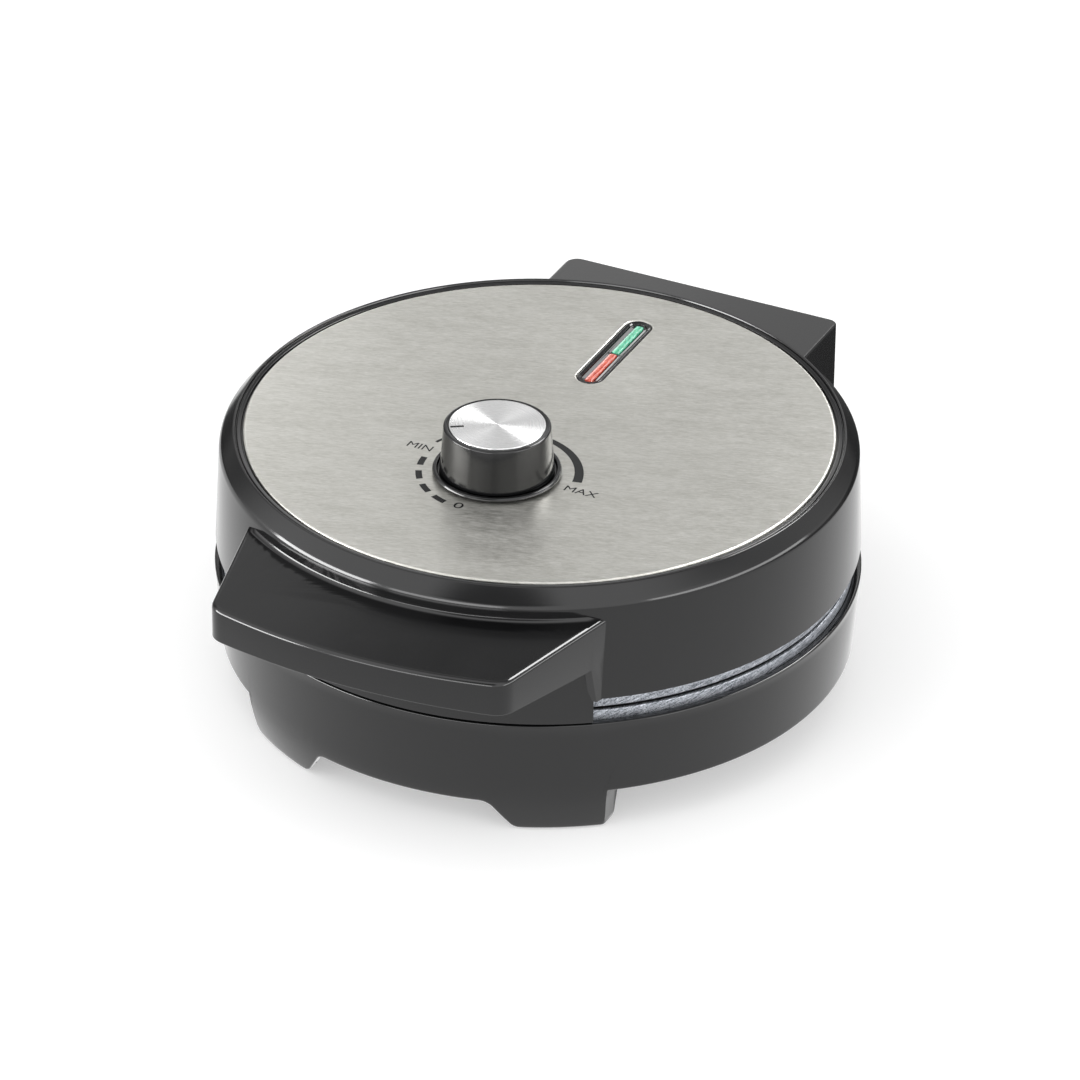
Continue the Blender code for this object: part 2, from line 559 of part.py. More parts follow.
def base_housing():
    """The base's round shell, its feet, the hinge block behind it and the two hinge ears."""
    ledge_under = BASE_LEDGE_HEIGHT - 2 * BASE_LEDGE_DEPTH
    ledge_outer = BASE_RIM_RADIUS - BASE_RIM_WIDTH
    ledge_inner = ledge_outer - BASE_LEDGE_WIDTH
    profile = [
        (BASE_FOOT_RADIUS - FOOT_DEPTH, FLOOR_BOTTOM),
        (BASE_FOOT_RADIUS - FOOT_DEPTH, FOOT_LIFT),
        (wall_radius(FOOT_LIFT), FOOT_LIFT),
        (wall_radius(FRONT_EDGE_HEIGHT / 2), FRONT_EDGE_HEIGHT / 2),
        (wall_radius(FRONT_EDGE_HEIGHT), FRONT_EDGE_HEIGHT),
        (wall_radius(BASE_WAIST_HEIGHT), BASE_WAIST_HEIGHT),
        (BASE_RIM_RADIUS, BASE_RIM_HEIGHT),
        (ledge_outer, BASE_RIM_HEIGHT),
        (ledge_outer, BASE_LEDGE_HEIGHT),
        (ledge_inner, BASE_LEDGE_HEIGHT),
        (ledge_inner, BASE_LEDGE_HEIGHT - BASE_LEDGE_DEPTH),
        (wall_radius(ledge_under) - BASE_WALL, ledge_under),
        (wall_radius(FLOOR_TOP) - BASE_WALL, FLOOR_TOP),
    ]
    shell = turned("base_housing", profile, BODY, BLACK_PLASTIC, HOUSING_STEPS)
    far = BASE_RIM_RADIUS + OVERRUN
    for side in (-1, 1):
        reach = sorted((side * FOOT_OUTER_X, side * far))
        cut(shell, box(f"cut_side_{side}", reach, (-far, far), (-OVERRUN, SIDE_EDGE_HEIGHT), BODY))
    for end in (-1, 1):
        slope = FOOT_SLOPE_X / (FRONT_EDGE_HEIGHT - FOOT_LIFT)
        low_x = FOOT_INNER_X + slope * (FOOT_LIFT + OVERRUN)
        high_x = FOOT_INNER_X - FOOT_SLOPE_X
        knee = FOOT_SLOPE_X / 3
        knee_height = FRONT_EDGE_HEIGHT - knee
        half = [
            (low_x, -OVERRUN),
            (high_x + knee, knee_height),
            (high_x + knee / 4, FRONT_EDGE_HEIGHT - knee / 4),
            (high_x - knee, FRONT_EDGE_HEIGHT),
        ]
        outline = half + [(-x, z) for x, z in half[::-1]]
        reach = sorted((end * far, end * (BASE_FOOT_RADIUS - FOOT_DEPTH) / 2))
        cut(shell, extruded(f"cut_front_{end}", outline, reach[0], reach[1], BODY, along="Y"))
    hollow_x = BASE_BLOCK_HALF_WIDTH - BASE_BLOCK_WALL
    hollow_z = (FLOOR_TOP + BURIED, BASE_BLOCK_TOP - BASE_BLOCK_WALL)
    cut(shell, box("base_wall_window", (-hollow_x, hollow_x), (BASE_FOOT_RADIUS / 2, far), hollow_z, BODY))
    block = box(
        "base_block", (-BASE_BLOCK_HALF_WIDTH, BASE_BLOCK_HALF_WIDTH),
        (BASE_FOOT_RADIUS / 2, BASE_BLOCK_BACK), (FRONT_EDGE_HEIGHT, BASE_BLOCK_TOP), BODY,
    )
    soften(block, BLOCK_EDGE)
    cut(block, box(
        "base_block_hollow", (-hollow_x, hollow_x), (0, BASE_BLOCK_BACK - BASE_BLOCK_WALL), hollow_z, BODY
    ))
    inside = wall_radius(FRONT_EDGE_HEIGHT) - BASE_WALL / 4
    cut(block, turned("base_block_room", [
        (inside, 0), (inside, BASE_RIM_HEIGHT),
    ], BODY, steps=HOUSING_STEPS))
    join(shell, block)
    for side in (-1, 1):
        reach = sorted((side * EAR_INNER_X, side * EAR_OUTER_X))
        foot = BASE_BLOCK_TOP - BURIED
        ear = [(HINGE_Y - EAR_RADIUS, foot), (HINGE_Y + EAR_RADIUS, foot)]
        ear += half_round((HINGE_Y, HINGE_Z), EAR_RADIUS, 0)
        join(shell, extruded(f"ear_{side}", ear, reach[0], reach[1], BODY, along="X"))
        over = (reach[0] - OVERRUN / 2, reach[1] + OVERRUN / 2)
        cut(shell, rod(
            f"ear_bore_{side}", (over[0], HINGE_Y, HINGE_Z), (over[1], HINGE_Y, HINGE_Z),
            PIN_RADIUS + SEAT_GAP, BODY,
        ))
    for index, turn in enumerate(screw_angles()):
        x, y = on_ring(SCREW_RING_RADIUS, turn)
        boss_top = LOWER_BACK - PLATE_BOSS_LENGTH - SEAT_GAP
        join(shell, rod(
            f"base_boss_{index}", (x, y, FLOOR_BOTTOM + BURIED), (x, y, boss_top), BASE_BOSS_RADIUS, BODY
        ))
        head_seat = boss_top - BASE_BOSS_CAP
        cut(shell, turned(f"base_bore_{index}", [
            (SCREW_HEAD_RADIUS + SEAT_GAP, FLOOR_BOTTOM - OVERRUN),
            (SCREW_HEAD_RADIUS + SEAT_GAP, head_seat),
            (SCREW_SHANK_RADIUS + SEAT_GAP, head_seat),
            (SCREW_SHANK_RADIUS + SEAT_GAP, boss_top + OVERRUN),
        ], BODY, steps=BORE_STEPS, centre=(x, y)))
    for name, turn in foot_angles().items():
        place = Matrix.Rotation(turn, 4, "Z")
        pad_seat = box(
            f"seat_{name}", (-PAD_LENGTH / 2 - SEAT_GAP, PAD_LENGTH / 2 + SEAT_GAP),
            (-PAD_WIDTH / 2 - SEAT_GAP, PAD_WIDTH / 2 + SEAT_GAP), (-OVERRUN, PAD_THICKNESS + SEAT_GAP), BODY,
        )
        pad_seat.data.transform(place @ Matrix.Translation((0, -pad_radius(), 0)))
        cut(shell, pad_seat)
    gland_height = (FLOOR_TOP + BASE_BLOCK_TOP - BASE_BLOCK_WALL) / 2
    cut(shell, rod(
        "gland_bore", (GLAND_X, BASE_BLOCK_BACK - 2 * BASE_BLOCK_WALL, gland_height),
        (GLAND_X, BASE_BLOCK_BACK + OVERRUN, gland_height), GLAND_RADIUS + SEAT_GAP, BODY,
    ))
    return shell


def pad_radius():
    """Distance of the rubber pads from the upright axis."""
    return BASE_FOOT_RADIUS - FOOT_DEPTH / 2


def foot_angles():
    """Turn of each foot about the upright axis, from the front."""
    return {
        "front_right": FOOT_ANGLE,
        "front_left": -FOOT_ANGLE,
        "rear_right": math.pi - FOOT_ANGLE,
        "rear_left": math.pi + FOOT_ANGLE,
    }


def foot_pads():
    """The rubber pads that the appliance stands on, one in each foot."""
    for name, turn in foot_angles().items():
        pad = box(
            f"foot_pad_{name}", (-PAD_LENGTH / 2, PAD_LENGTH / 2), (-PAD_WIDTH / 2, PAD_WIDTH / 2),
            (0, PAD_THICKNESS), BODY, RUBBER,
        )
        pad.data.transform(Matrix.Rotation(turn, 4, "Z") @ Matrix.Translation((0, -pad_radius(), 0)))


def heart_wave(turn):
    """Place along the heart, as a share of its length, at a turn round its outline."""
    return sum(share * math.cos((order + 1) * turn) for order, share in enumerate(HEART_WAVE_SHARES))


def heart(inset=0.0, steps=HEART_STEPS):
    """Outline of one heart pocket, tip towards the middle of the plate and lobes outwards, along +X."""
    points = []
    for step in range(steps):
        turn = 2 * math.pi * step / steps
        along_share = heart_wave(turn) - heart_wave(math.pi)
        x = HEART_TIP_RADIUS + inset + along_share * (HEART_LENGTH - 2 * inset)
        points.append((x, math.sin(turn) ** 3 * (HEART_HALF_WIDTH - inset)))
    return points


def turned_outline(outline, turn):
    """The outline turned about the upright axis."""
    along, across = math.cos(turn), math.sin(turn)
    return [(x * along - y * across, x * across + y * along) for x, y in outline]


def inside_outline(x, y, outline):
    """Counts crossings of a line from the point, to tell whether it lies inside."""
    within = False
    for (x0, y0), (x1, y1) in zip(outline, outline[1:] + outline[:1]):
        if (y0 > y) != (y1 > y) and x < x0 + (y - y0) * (x1 - x0) / (y1 - y0):
            within = not within
    return within


def heart_angles():
    """Turn of each heart, the first towards the front."""
    return [-math.pi / 2 + index * 2 * math.pi / HEART_COUNT for index in range(HEART_COUNT)]


def cooking_plate(name, axis, face, back_way):
    """A cast plate with five heart pockets. back_way is -1 where its back looks down, 1 where it looks up."""
    def level(depth):
        return face + back_way * depth

    groove = ELEMENT_RADIUS + SEAT_GAP
    ring = ELEMENT_RING_RADIUS
    profile = [
        (PLATE_RADIUS, level(0)),
        (PLATE_RADIUS, level(PLATE_RIM_THICKNESS)),
        (PLATE_PAN_RADIUS, level(PLATE_RIM_THICKNESS)),
        (PLATE_PAN_RADIUS, level(PLATE_DEPTH)),
        (ring + groove + GROOVE_WALL, level(PLATE_DEPTH)),
        (ring + groove + GROOVE_WALL, level(PLATE_DEPTH + GROOVE_WALL_HEIGHT)),
        (ring + groove, level(PLATE_DEPTH + GROOVE_WALL_HEIGHT)),
        (ring + groove, level(PLATE_DEPTH + SEAT_GAP)),
        (ring - groove, level(PLATE_DEPTH + SEAT_GAP)),
        (ring - groove, level(PLATE_DEPTH + GROOVE_WALL_HEIGHT)),
        (ring - groove - GROOVE_WALL, level(PLATE_DEPTH + GROOVE_WALL_HEIGHT)),
        (ring - groove - GROOVE_WALL, level(PLATE_DEPTH)),
    ]
    plate = turned(name, profile, axis, CAST_ALUMINIUM, PLATE_STEPS)
    for index, turn in enumerate(heart_angles()):
        outline = turned_outline(heart(), turn)
        ends = sorted((level(-OVERRUN), level(POCKET_DEPTH)))
        cut(plate, extruded(f"{name}_heart_{index}", outline, ends[0], ends[1], axis))
    ends = sorted((level(POCKET_DEPTH - STUD_HEIGHT), level(POCKET_DEPTH + BURIED)))
    for index, turn in enumerate(heart_angles()):
        allowed = turned_outline(heart(STUD_MARGIN + STUD_SIZE / 2, 2 * HEART_STEPS), turn)
        rows = int(PLATE_RADIUS / STUD_PITCH)
        places = [row * STUD_PITCH for row in range(-rows, rows + 1)]
        spots = [(x, y) for x in places for y in places if inside_outline(x, y, allowed)]
        if spots:
            join(plate, studs(f"{name}_studs_{index}", spots, ends, axis))
    for index, turn in enumerate(screw_angles()):
        x, y = on_ring(SCREW_RING_RADIUS, turn)
        boss_end = PLATE_DEPTH + PLATE_BOSS_LENGTH
        join(plate, rod(
            f"{name}_boss_{index}", (x, y, level(PLATE_DEPTH - BURIED)), (x, y, level(boss_end)),
            PLATE_BOSS_RADIUS, axis,
        ))
        cut(plate, rod(
            f"{name}_bore_{index}", (x, y, level(boss_end - SCREW_GRIP)), (x, y, level(boss_end + OVERRUN)),
            SCREW_SHANK_RADIUS + SEAT_GAP, axis,
        ))
    return plate


def studs(name, spots, ends, axis):
    """The small square studs that press the waffle's grid, as one helper."""
    shape = bmesh.new()
    for x, y in spots:
        place = Matrix.Translation((x, y, (ends[0] + ends[1]) / 2))
        size = Matrix.Diagonal((STUD_SIZE, STUD_SIZE, ends[1] - ends[0], 1))
        bmesh.ops.create_cube(shape, size=1, matrix=place @ size)
    return finish(name, to_mesh(name, shape), axis, smooth=False)


def tube(name, points, radius, axis, skin, sides=2):
    """A round tube along points, drawn round the body's axis."""
    curve = bpy.data.curves.new(name, "CURVE")
    curve.dimensions = "3D"
    curve.bevel_depth = radius
    curve.bevel_resolution = sides
    curve.use_fill_caps = True
    line = curve.splines.new("POLY")
    line.points.add(len(points) - 1)
    for spot, point in zip(line.points, points):
        spot.co = (*(Vector(point) - HOME[axis]), 1)
    curve.materials.append(skin)
    made = bpy.data.objects.new(name, curve)
    made.parent = axis
    bpy.context.collection.objects.link(made)
    return made


def element_height(back, back_way):
    """Height of the element's middle line, just clear of the plate's back."""
    return back + back_way * (2 * SEAT_GAP + ELEMENT_RADIUS)


def heating_element(name, axis, back, back_way):
    """An open ring with both ends turned away from the plate, the opening at the back."""
    height = element_height(back, back_way)
    start = math.pi / 2 + ELEMENT_HALF_OPENING
    sweep = 2 * math.pi - 2 * ELEMENT_HALF_OPENING
    points = []
    for step in range(ELEMENT_STEPS + 1):
        x, y = on_ring(ELEMENT_RING_RADIUS, start + sweep * step / ELEMENT_STEPS)
        points.append((x, y, height))
    first, last = Vector(points[0]), Vector(points[-1])
    bend = ELEMENT_BEND
    ends = []
    for end, way in ((first, 1), (last, -1)):
        spots = []
        for step in range(1, BEND_STEPS + 1):
            turn = math.pi / 2 * step / BEND_STEPS
            rise = back_way * bend * (1 - math.cos(turn))
            spots.append((end.x + way * bend * math.sin(turn), end.y, height + rise))
        spots.append((end.x + way * bend, end.y, height + back_way * ELEMENT_TAIL))
        ends.append(spots)
    return tube(name, ends[0][::-1] + points + ends[1], ELEMENT_RADIUS, axis, SHEATH_STEEL)


def heat_reflector(name, axis, back, back_way, with_window):
    """A thin pan behind the element, its rim against the plate's back."""
    def level(depth):
        return back + back_way * depth

    sheet = REFLECTOR_SHEET
    profile = [
        (REFLECTOR_RADIUS - sheet, level(REFLECTOR_DEPTH - sheet)),
        (REFLECTOR_RADIUS - sheet, level(SEAT_GAP)),
        (REFLECTOR_RADIUS, level(SEAT_GAP)),
        (REFLECTOR_RADIUS, level(REFLECTOR_DEPTH)),
    ]
    pan = turned(name, profile, axis, PLATED_STEEL, PLATE_STEPS)
    ends = sorted((level(0), level(REFLECTOR_DEPTH + OVERRUN)))
    cut(pan, box(
        f"{name}_tail_slot", (-REFLECTOR_SLOT_X / 2, REFLECTOR_SLOT_X / 2),
        (ELEMENT_RING_RADIUS - REFLECTOR_SLOT_Y / 2, ELEMENT_RING_RADIUS + REFLECTOR_SLOT_Y / 2), ends, axis,
    ))
    if with_window:
        side = BRACKET_X / 2 + 2 * SEAT_GAP
        depth = THERMOSTAT_Y / 2 + 4 * SEAT_GAP
        cut(pan, box(f"{name}_window", (-side, side), (KNOB_Y - depth, KNOB_Y + depth), ends, axis))
    return pan


def screw(name, seat, tip, axis):
    """A pan-head screw. seat is where the head bears and tip is its far end."""
    seat, tip = Vector(seat), Vector(tip)
    way = (tip - seat).normalized()
    made = rod(name, seat - way * SCREW_HEAD_THICKNESS, seat, SCREW_HEAD_RADIUS, axis, PLATED_STEEL)
    return join(made, rod(f"{name}_shank", seat - way * BURIED, tip, SCREW_SHANK_RADIUS, axis))


def plate_screws():
    """The screws that hold the lower plate to the base and the upper plate to the lid."""
    boss_end = PLATE_DEPTH + PLATE_BOSS_LENGTH
    for index, turn in enumerate(screw_angles()):
        x, y = on_ring(SCREW_RING_RADIUS, turn)
        tip = LOWER_FACE - boss_end + SCREW_GRIP - SEAT_GAP
        seat = LOWER_FACE - boss_end - SEAT_GAP - BASE_BOSS_CAP - SEAT_GAP
        screw(f"lower_plate_screw_{index + 1}", (x, y, seat), (x, y, tip), BODY)
        tip = UPPER_FACE + boss_end - SCREW_GRIP + SEAT_GAP
        seat = lug_top() + SEAT_GAP
        screw(f"upper_plate_screw_{index + 1}", (x, y, seat), (x, y, tip), LID)


def lug_top():
    """Height of the lid's lugs, which the upper plate's screws bear on."""
    return UPPER_BACK + PLATE_BOSS_LENGTH + SEAT_GAP + LUG_THICKNESS


def lid_housing():
    """The lid's round shell with the lip round the steel plate, and the hinge block behind it."""
    shoulder = PLATE_TOP_HEIGHT - LID_SHOULDER_DROP
    crown = PLATE_TOP_HEIGHT + LIP_RISE
    ledge_under = LEDGE_TOP - LEDGE_THICKNESS
    profile = [
        (LEDGE_INNER_RADIUS, LEDGE_TOP),
        (LIP_INNER_RADIUS, LEDGE_TOP),
        (LIP_INNER_RADIUS, crown - LIP_ROUND),
        (LIP_INNER_RADIUS + LIP_ROUND, crown),
        (LIP_OUTER_RADIUS - LIP_ROUND, crown),
        (LIP_OUTER_RADIUS, crown - LIP_ROUND),
        (LID_SHOULDER_RADIUS - LID_SHOULDER_ROUND / 2, shoulder + LID_SHOULDER_ROUND),
        (LID_SHOULDER_RADIUS, shoulder),
        (LID_FOOT_RADIUS, LID_FOOT_HEIGHT),
        (LID_FOOT_RADIUS - LID_WALL, LID_FOOT_HEIGHT),
        (LID_SHOULDER_RADIUS - LID_WALL, shoulder - LID_WALL),
        (LIP_OUTER_RADIUS - LIP_ROUND, ledge_under),
        (LEDGE_INNER_RADIUS, ledge_under),
    ]
    shell = turned("lid_housing", profile, LID, BLACK_PLASTIC, HOUSING_STEPS, solid=False)
    cut(shell, wall_window())
    join(shell, lid_block())
    for side in (-1, 1):
        add_knuckles(shell, side)
    add_handle_seat(shell)
    for index, turn in enumerate(screw_angles()):
        top = lug_top()
        low = top - LUG_THICKNESS
        lug = box(
            f"lug_{index}", (SCREW_RING_RADIUS - LUG_WIDTH / 2, lid_radius(low) - BURIED),
            (-LUG_WIDTH / 2, LUG_WIDTH / 2), (low, top), LID,
        )
        home = Matrix.Translation(-HOME[LID])
        lug.data.transform(home @ Matrix.Rotation(turn, 4, "Z") @ home.inverted())
        join(shell, lug)
        x, y = on_ring(SCREW_RING_RADIUS, turn)
        cut(shell, rod(
            f"lug_bore_{index}", (x, y, low - OVERRUN), (x, y, top + OVERRUN),
            SCREW_SHANK_RADIUS + SEAT_GAP, LID,
        ))
    return shell


def lid_block():
    """The boxy block behind the lid, open below, with a notch for each ear in its back wall."""
    wall = BLOCK_WALL
    front = LID_FOOT_RADIUS * BLOCK_FRONT_SHARE
    block = box(
        "lid_block", (-BLOCK_HALF_WIDTH, BLOCK_HALF_WIDTH), (front, HINGE_BLOCK_REACH),
        (HINGE_Z, BLOCK_TOP), LID,
    )
    soften(block, BLOCK_EDGE)
    cut(block, box(
        "lid_block_hollow", (wall - BLOCK_HALF_WIDTH, BLOCK_HALF_WIDTH - wall), (0, HINGE_BLOCK_REACH - wall),
        (HINGE_Z - OVERRUN, BLOCK_TOP - wall), LID,
    ))
    for side in (-1, 1):
        reach = sorted((side * (EAR_INNER_X - EAR_SIDE_GAP), side * (EAR_OUTER_X + EAR_SIDE_GAP)))
        cut(block, box(
            f"ear_notch_{side}", reach, (HINGE_Y, HINGE_BLOCK_REACH + OVERRUN),
            (HINGE_Z - OVERRUN, HINGE_Z + NOTCH_HEIGHT), LID,
        ))
    return cut(block, round_core("lid_block_room", PLATE_RADIUS + 2 * SEAT_GAP))


def wall_window():
    """The opening that lets wires pass from the hinge block into the lid."""
    middle = (LID_FOOT_HEIGHT + BLOCK_TOP) / 2
    return box(
        "wire_window", (-WIRE_WINDOW_X / 2, WIRE_WINDOW_X / 2),
        (LID_FOOT_RADIUS / 2, LID_FOOT_RADIUS + OVERRUN),
        (middle - WIRE_WINDOW_Z / 2, middle + WIRE_WINDOW_Z / 2), LID,
    )


def knuckle_outline():
    """A plate that hangs from the block's top and back wall and rounds the hinge line."""
    back = HINGE_BLOCK_REACH - BLOCK_WALL + BURIED
    top = BLOCK_TOP - BLOCK_WALL + BURIED
    outline = [(back, HINGE_Z + 2 * EAR_RADIUS), (back, top), (HINGE_Y - EAR_RADIUS, top)]
    return outline + half_round((HINGE_Y, HINGE_Z), EAR_RADIUS, math.pi)


def add_knuckles(shell, side):
    """An inner rib and a boss on the side wall carry each pin on both sides of its ear."""
    rib_outer = EAR_INNER_X - EAR_SIDE_GAP
    rib = sorted((side * (rib_outer - RIB_THICKNESS), side * rib_outer))
    join(shell, extruded(f"rib_{side}", knuckle_outline(), rib[0], rib[1], LID, along="X"))
    boss = sorted((side * (EAR_OUTER_X + EAR_SIDE_GAP), side * (BLOCK_HALF_WIDTH - BURIED)))
    join(shell, extruded(f"side_boss_{side}", knuckle_outline(), boss[0], boss[1], LID, along="X"))
    blind = BLOCK_HALF_WIDTH - BLOCK_WALL / 2
    reach = sorted((side * (rib_outer - RIB_THICKNESS - OVERRUN), side * blind))
    cut(shell, rod(
        f"pin_bore_{side}", (reach[0], HINGE_Y, HINGE_Z), (reach[1], HINGE_Y, HINGE_Z),
        PIN_RADIUS + SEAT_GAP, LID,
    ))


def add_handle_seat(shell):
    """A thick pad inside the lid's wall, with a recess outside that the handle's back fills."""
    half = math.asin((HANDLE_BACK_X + LID_WALL) / PAD_WALL_RADIUS)
    join(shell, sector(
        "handle_pad", PAD_WALL_RADIUS, RECESS_RADIUS + BURIED, half,
        LID_FOOT_HEIGHT, RECESS_TOP + LID_WALL, LID,
    ))
    recess = extruded("handle_recess", handle_outline(-SEAT_GAP), LID_FOOT_HEIGHT - OVERRUN, RECESS_TOP, LID)
    cut(recess, round_core("recess_core", RECESS_RADIUS))
    cut(shell, recess)
    for side in (-1, 1):
        cut(shell, rod(
            f"handle_bore_{side}", (side * HANDLE_SCREW_X, -PAD_WALL_RADIUS / 2, HANDLE_SCREW_HEIGHT),
            (side * HANDLE_SCREW_X, -HANDLE_REACH, HANDLE_SCREW_HEIGHT), SCREW_SHANK_RADIUS + SEAT_GAP, LID,
        ))


def round_core(name, radius):
    """An upright cylinder with the housing's facets, taller than the lid, for cutting."""
    return turned(name, [(radius, 0), (radius, PLATE_TOP_HEIGHT + OVERRUN)], LID, steps=HOUSING_STEPS)


def handle_side_x(reach):
    """Where the handle's slanted side lies at a given distance in front of the body's axis."""
    slope = (HANDLE_BACK_X - HANDLE_FRONT_X) / (HANDLE_CORNER_REACH - HANDLE_ROOT_REACH)
    return HANDLE_BACK_X - slope * (reach - HANDLE_ROOT_REACH)


def handle_front_radius():
    """Radius of the bowed front edge, from its reach at the middle and at the corners."""
    return (HANDLE_FRONT_X ** 2 + HANDLE_BOW ** 2) / (2 * HANDLE_BOW)


def handle_outline(inset=0.0):
    """The handle seen from above: slanted sides, rounded corners and a bowed front."""
    radius = handle_front_radius()
    centre = -HANDLE_REACH + radius
    corner = HANDLE_FRONT_X - inset
    round_off = HANDLE_CORNER_ROUND
    half = math.asin((corner - round_off) / radius)
    front = []
    for step in range(FRONT_EDGE_STEPS + 1):
        turn = half * (2 * step / FRONT_EDGE_STEPS - 1)
        front.append((radius * math.sin(turn), centre - (radius - inset) * math.cos(turn)))
    root = HANDLE_ROOT_REACH * HANDLE_ROOT_SHARE
    side_reach = HANDLE_CORNER_REACH - inset - round_off
    near = (handle_side_x(side_reach) - inset, -side_reach)
    end = Vector(front[-1])
    apex_x = handle_side_x(HANDLE_CORNER_REACH) - inset * HANDLE_CORNER_INSET_SHARE
    apex = Vector((apex_x, inset - HANDLE_CORNER_REACH))
    corner_points = []
    for step in range(1, BEND_STEPS):
        share = step / BEND_STEPS
        point = (1 - share) ** 2 * end + 2 * share * (1 - share) * apex + share ** 2 * Vector(near)
        corner_points.append((point.x, point.y))
    right = corner_points + [near, (handle_side_x(root) - inset, -root)]
    left = [(-x, y) for x, y in right[::-1]]
    return left + front + right


def slab(name, outline, under, top, axis, skin=None):
    """A slab whose top and underside heights follow the distance to the front."""
    shape = bmesh.new()
    low = [shape.verts.new((x, y, under(y))) for x, y in outline]
    high = [shape.verts.new((x, y, top(y))) for x, y in outline]
    shape.faces.new(low)
    shape.faces.new(high[::-1])
    for index in range(len(outline)):
        nxt = (index + 1) % len(outline)
        shape.faces.new((low[index], low[nxt], high[nxt], high[index]))
    return finish(name, to_mesh(name, shape), axis, skin)


def between(y, back, front):
    """A height that runs straight from the leg's reach to the handle's front."""
    share = (-y - HANDLE_LEG_REACH) / (HANDLE_REACH - HANDLE_LEG_REACH)
    return back + (front - back) * share


def lid_handle():
    """The moulded handle: a slab open below, two side legs and the skirt that hides the plates."""
    def top(y):
        return between(y, HANDLE_TOP_BACK, HANDLE_TOP_FRONT)

    def under(y):
        return between(y, HANDLE_UNDER_BACK, HANDLE_UNDER_FRONT)

    handle = slab("lid_handle", handle_outline(), under, top, LID, BLACK_PLASTIC)
    soften(handle, BLOCK_EDGE)
    hollow_under = HANDLE_UNDER_BACK - OVERRUN
    cut(handle, slab(
        "handle_hollow", handle_outline(HANDLE_WALL), lambda y: hollow_under,
        lambda y: top(y) - HANDLE_WALL, LID,
    ))
    skirt_half = math.asin(SKIRT_HALF_WIDTH / SKIRT_RADIUS)
    root_half = math.asin((HANDLE_BACK_X - BURIED) / SKIRT_RADIUS)
    join(handle, sector(
        "skirt", HANDLE_BACK_RADIUS - OVERRUN, SKIRT_RADIUS, skirt_half, SKIRT_FOOT, HANDLE_UNDER_BACK, LID
    ))
    join(handle, sector(
        "handle_root", HANDLE_BACK_RADIUS - OVERRUN, SKIRT_RADIUS, root_half, LID_FOOT_HEIGHT,
        HANDLE_TOP_BACK - HANDLE_WALL / 2, LID,
    ))
    for side in (-1, 1):
        join(handle, handle_leg(side))
        x = side * HANDLE_SCREW_X
        start = math.sqrt(HANDLE_BACK_RADIUS ** 2 - HANDLE_SCREW_X ** 2)
        tip = start + HANDLE_BOSS_LENGTH
        height = HANDLE_SCREW_HEIGHT
        join(handle, rod(
            f"handle_boss_{side}", (x, -start, height), (x, -tip, height), HANDLE_BOSS_RADIUS, LID
        ))
        cut(handle, rod(
            f"handle_boss_bore_{side}", (x, -start / 2, height), (x, HANDLE_WALL - tip, height),
            SCREW_SHANK_RADIUS + SEAT_GAP, LID,
        ))
    return cut(handle, round_core("handle_back_cut", HANDLE_BACK_RADIUS))


def handle_leg(side):
    """The side wall that carries the slab down to the lid's foot, narrower towards the bottom."""
    points = []
    ends = ((LID_FOOT_HEIGHT, HANDLE_LEG_FOOT_REACH), (HANDLE_UNDER_BACK + BURIED, HANDLE_LEG_REACH))
    for height, reach in ends:
        for y in (-HANDLE_ROOT_REACH * HANDLE_LEG_ROOT_SHARE, -reach):
            outer = handle_side_x(-y) - BURIED / 4
            points += [(side * outer, y, height), (side * (outer - HANDLE_WALL), y, height)]
    return hull(f"leg_{side}", points, LID)


def handle_screws():
    """The two screws that hold the handle, driven from inside the lid."""
    for side, name in ((-1, "left"), (1, "right")):
        x = side * HANDLE_SCREW_X
        pad = math.sqrt(PAD_WALL_RADIUS ** 2 - HANDLE_SCREW_X ** 2)
        start = math.sqrt(HANDLE_BACK_RADIUS ** 2 - HANDLE_SCREW_X ** 2)
        head = pad - SCREW_HEAD_RADIUS * HANDLE_SCREW_X / PAD_WALL_RADIUS - 2 * SEAT_GAP
        tip = start + HANDLE_BOSS_LENGTH - HANDLE_WALL - SEAT_GAP
        screw(
            f"handle_screw_{name}", (x, -head, HANDLE_SCREW_HEIGHT), (x, -tip, HANDLE_SCREW_HEIGHT), LID
        )


def racetrack(length, width):
    """Outline with two straight sides along Y and round ends, centred on the indicator slot."""
    radius = width / 2
    straight = (length - width) / 2
    points = []
    for end, begin in ((1, 0), (-1, math.pi)):
        for step in range(ROUND_END_STEPS + 1):
            turn = begin + math.pi * step / ROUND_END_STEPS
            y = SLOT_CENTRE_Y + end * straight + radius * math.sin(turn)
            points.append((radius * math.cos(turn), y))
    return points


def steel_top_plate():
    """The brushed disc on top, with holes for the shaft and the indicators."""
    profile = [(STEEL_RADIUS, STEEL_UNDER), (STEEL_RADIUS, PLATE_TOP_HEIGHT)]
    plate = turned("steel_top_plate", profile, LID, BRUSHED_STEEL, HOUSING_STEPS)
    cut(plate, rod(
        "shaft_hole", (0, KNOB_Y, STEEL_UNDER - OVERRUN), (0, KNOB_Y, PLATE_TOP_HEIGHT + OVERRUN),
        SHAFT_HOLE_RADIUS, LID,
    ))
    cut(plate, extruded(
        "slot_hole", racetrack(SLOT_LENGTH, SLOT_WIDTH), STEEL_UNDER - OVERRUN,
        PLATE_TOP_HEIGHT + OVERRUN, LID,
    ))
    return plate


def lens_spans():
    """Start and end along Y of the red and the green lens."""
    red = SLOT_CENTRE_Y - LENS_RIB / 2 - LENS_LENGTH
    green = SLOT_CENTRE_Y + LENS_RIB / 2
    return {"red": (red, red + LENS_LENGTH), "green": (green, green + LENS_LENGTH)}


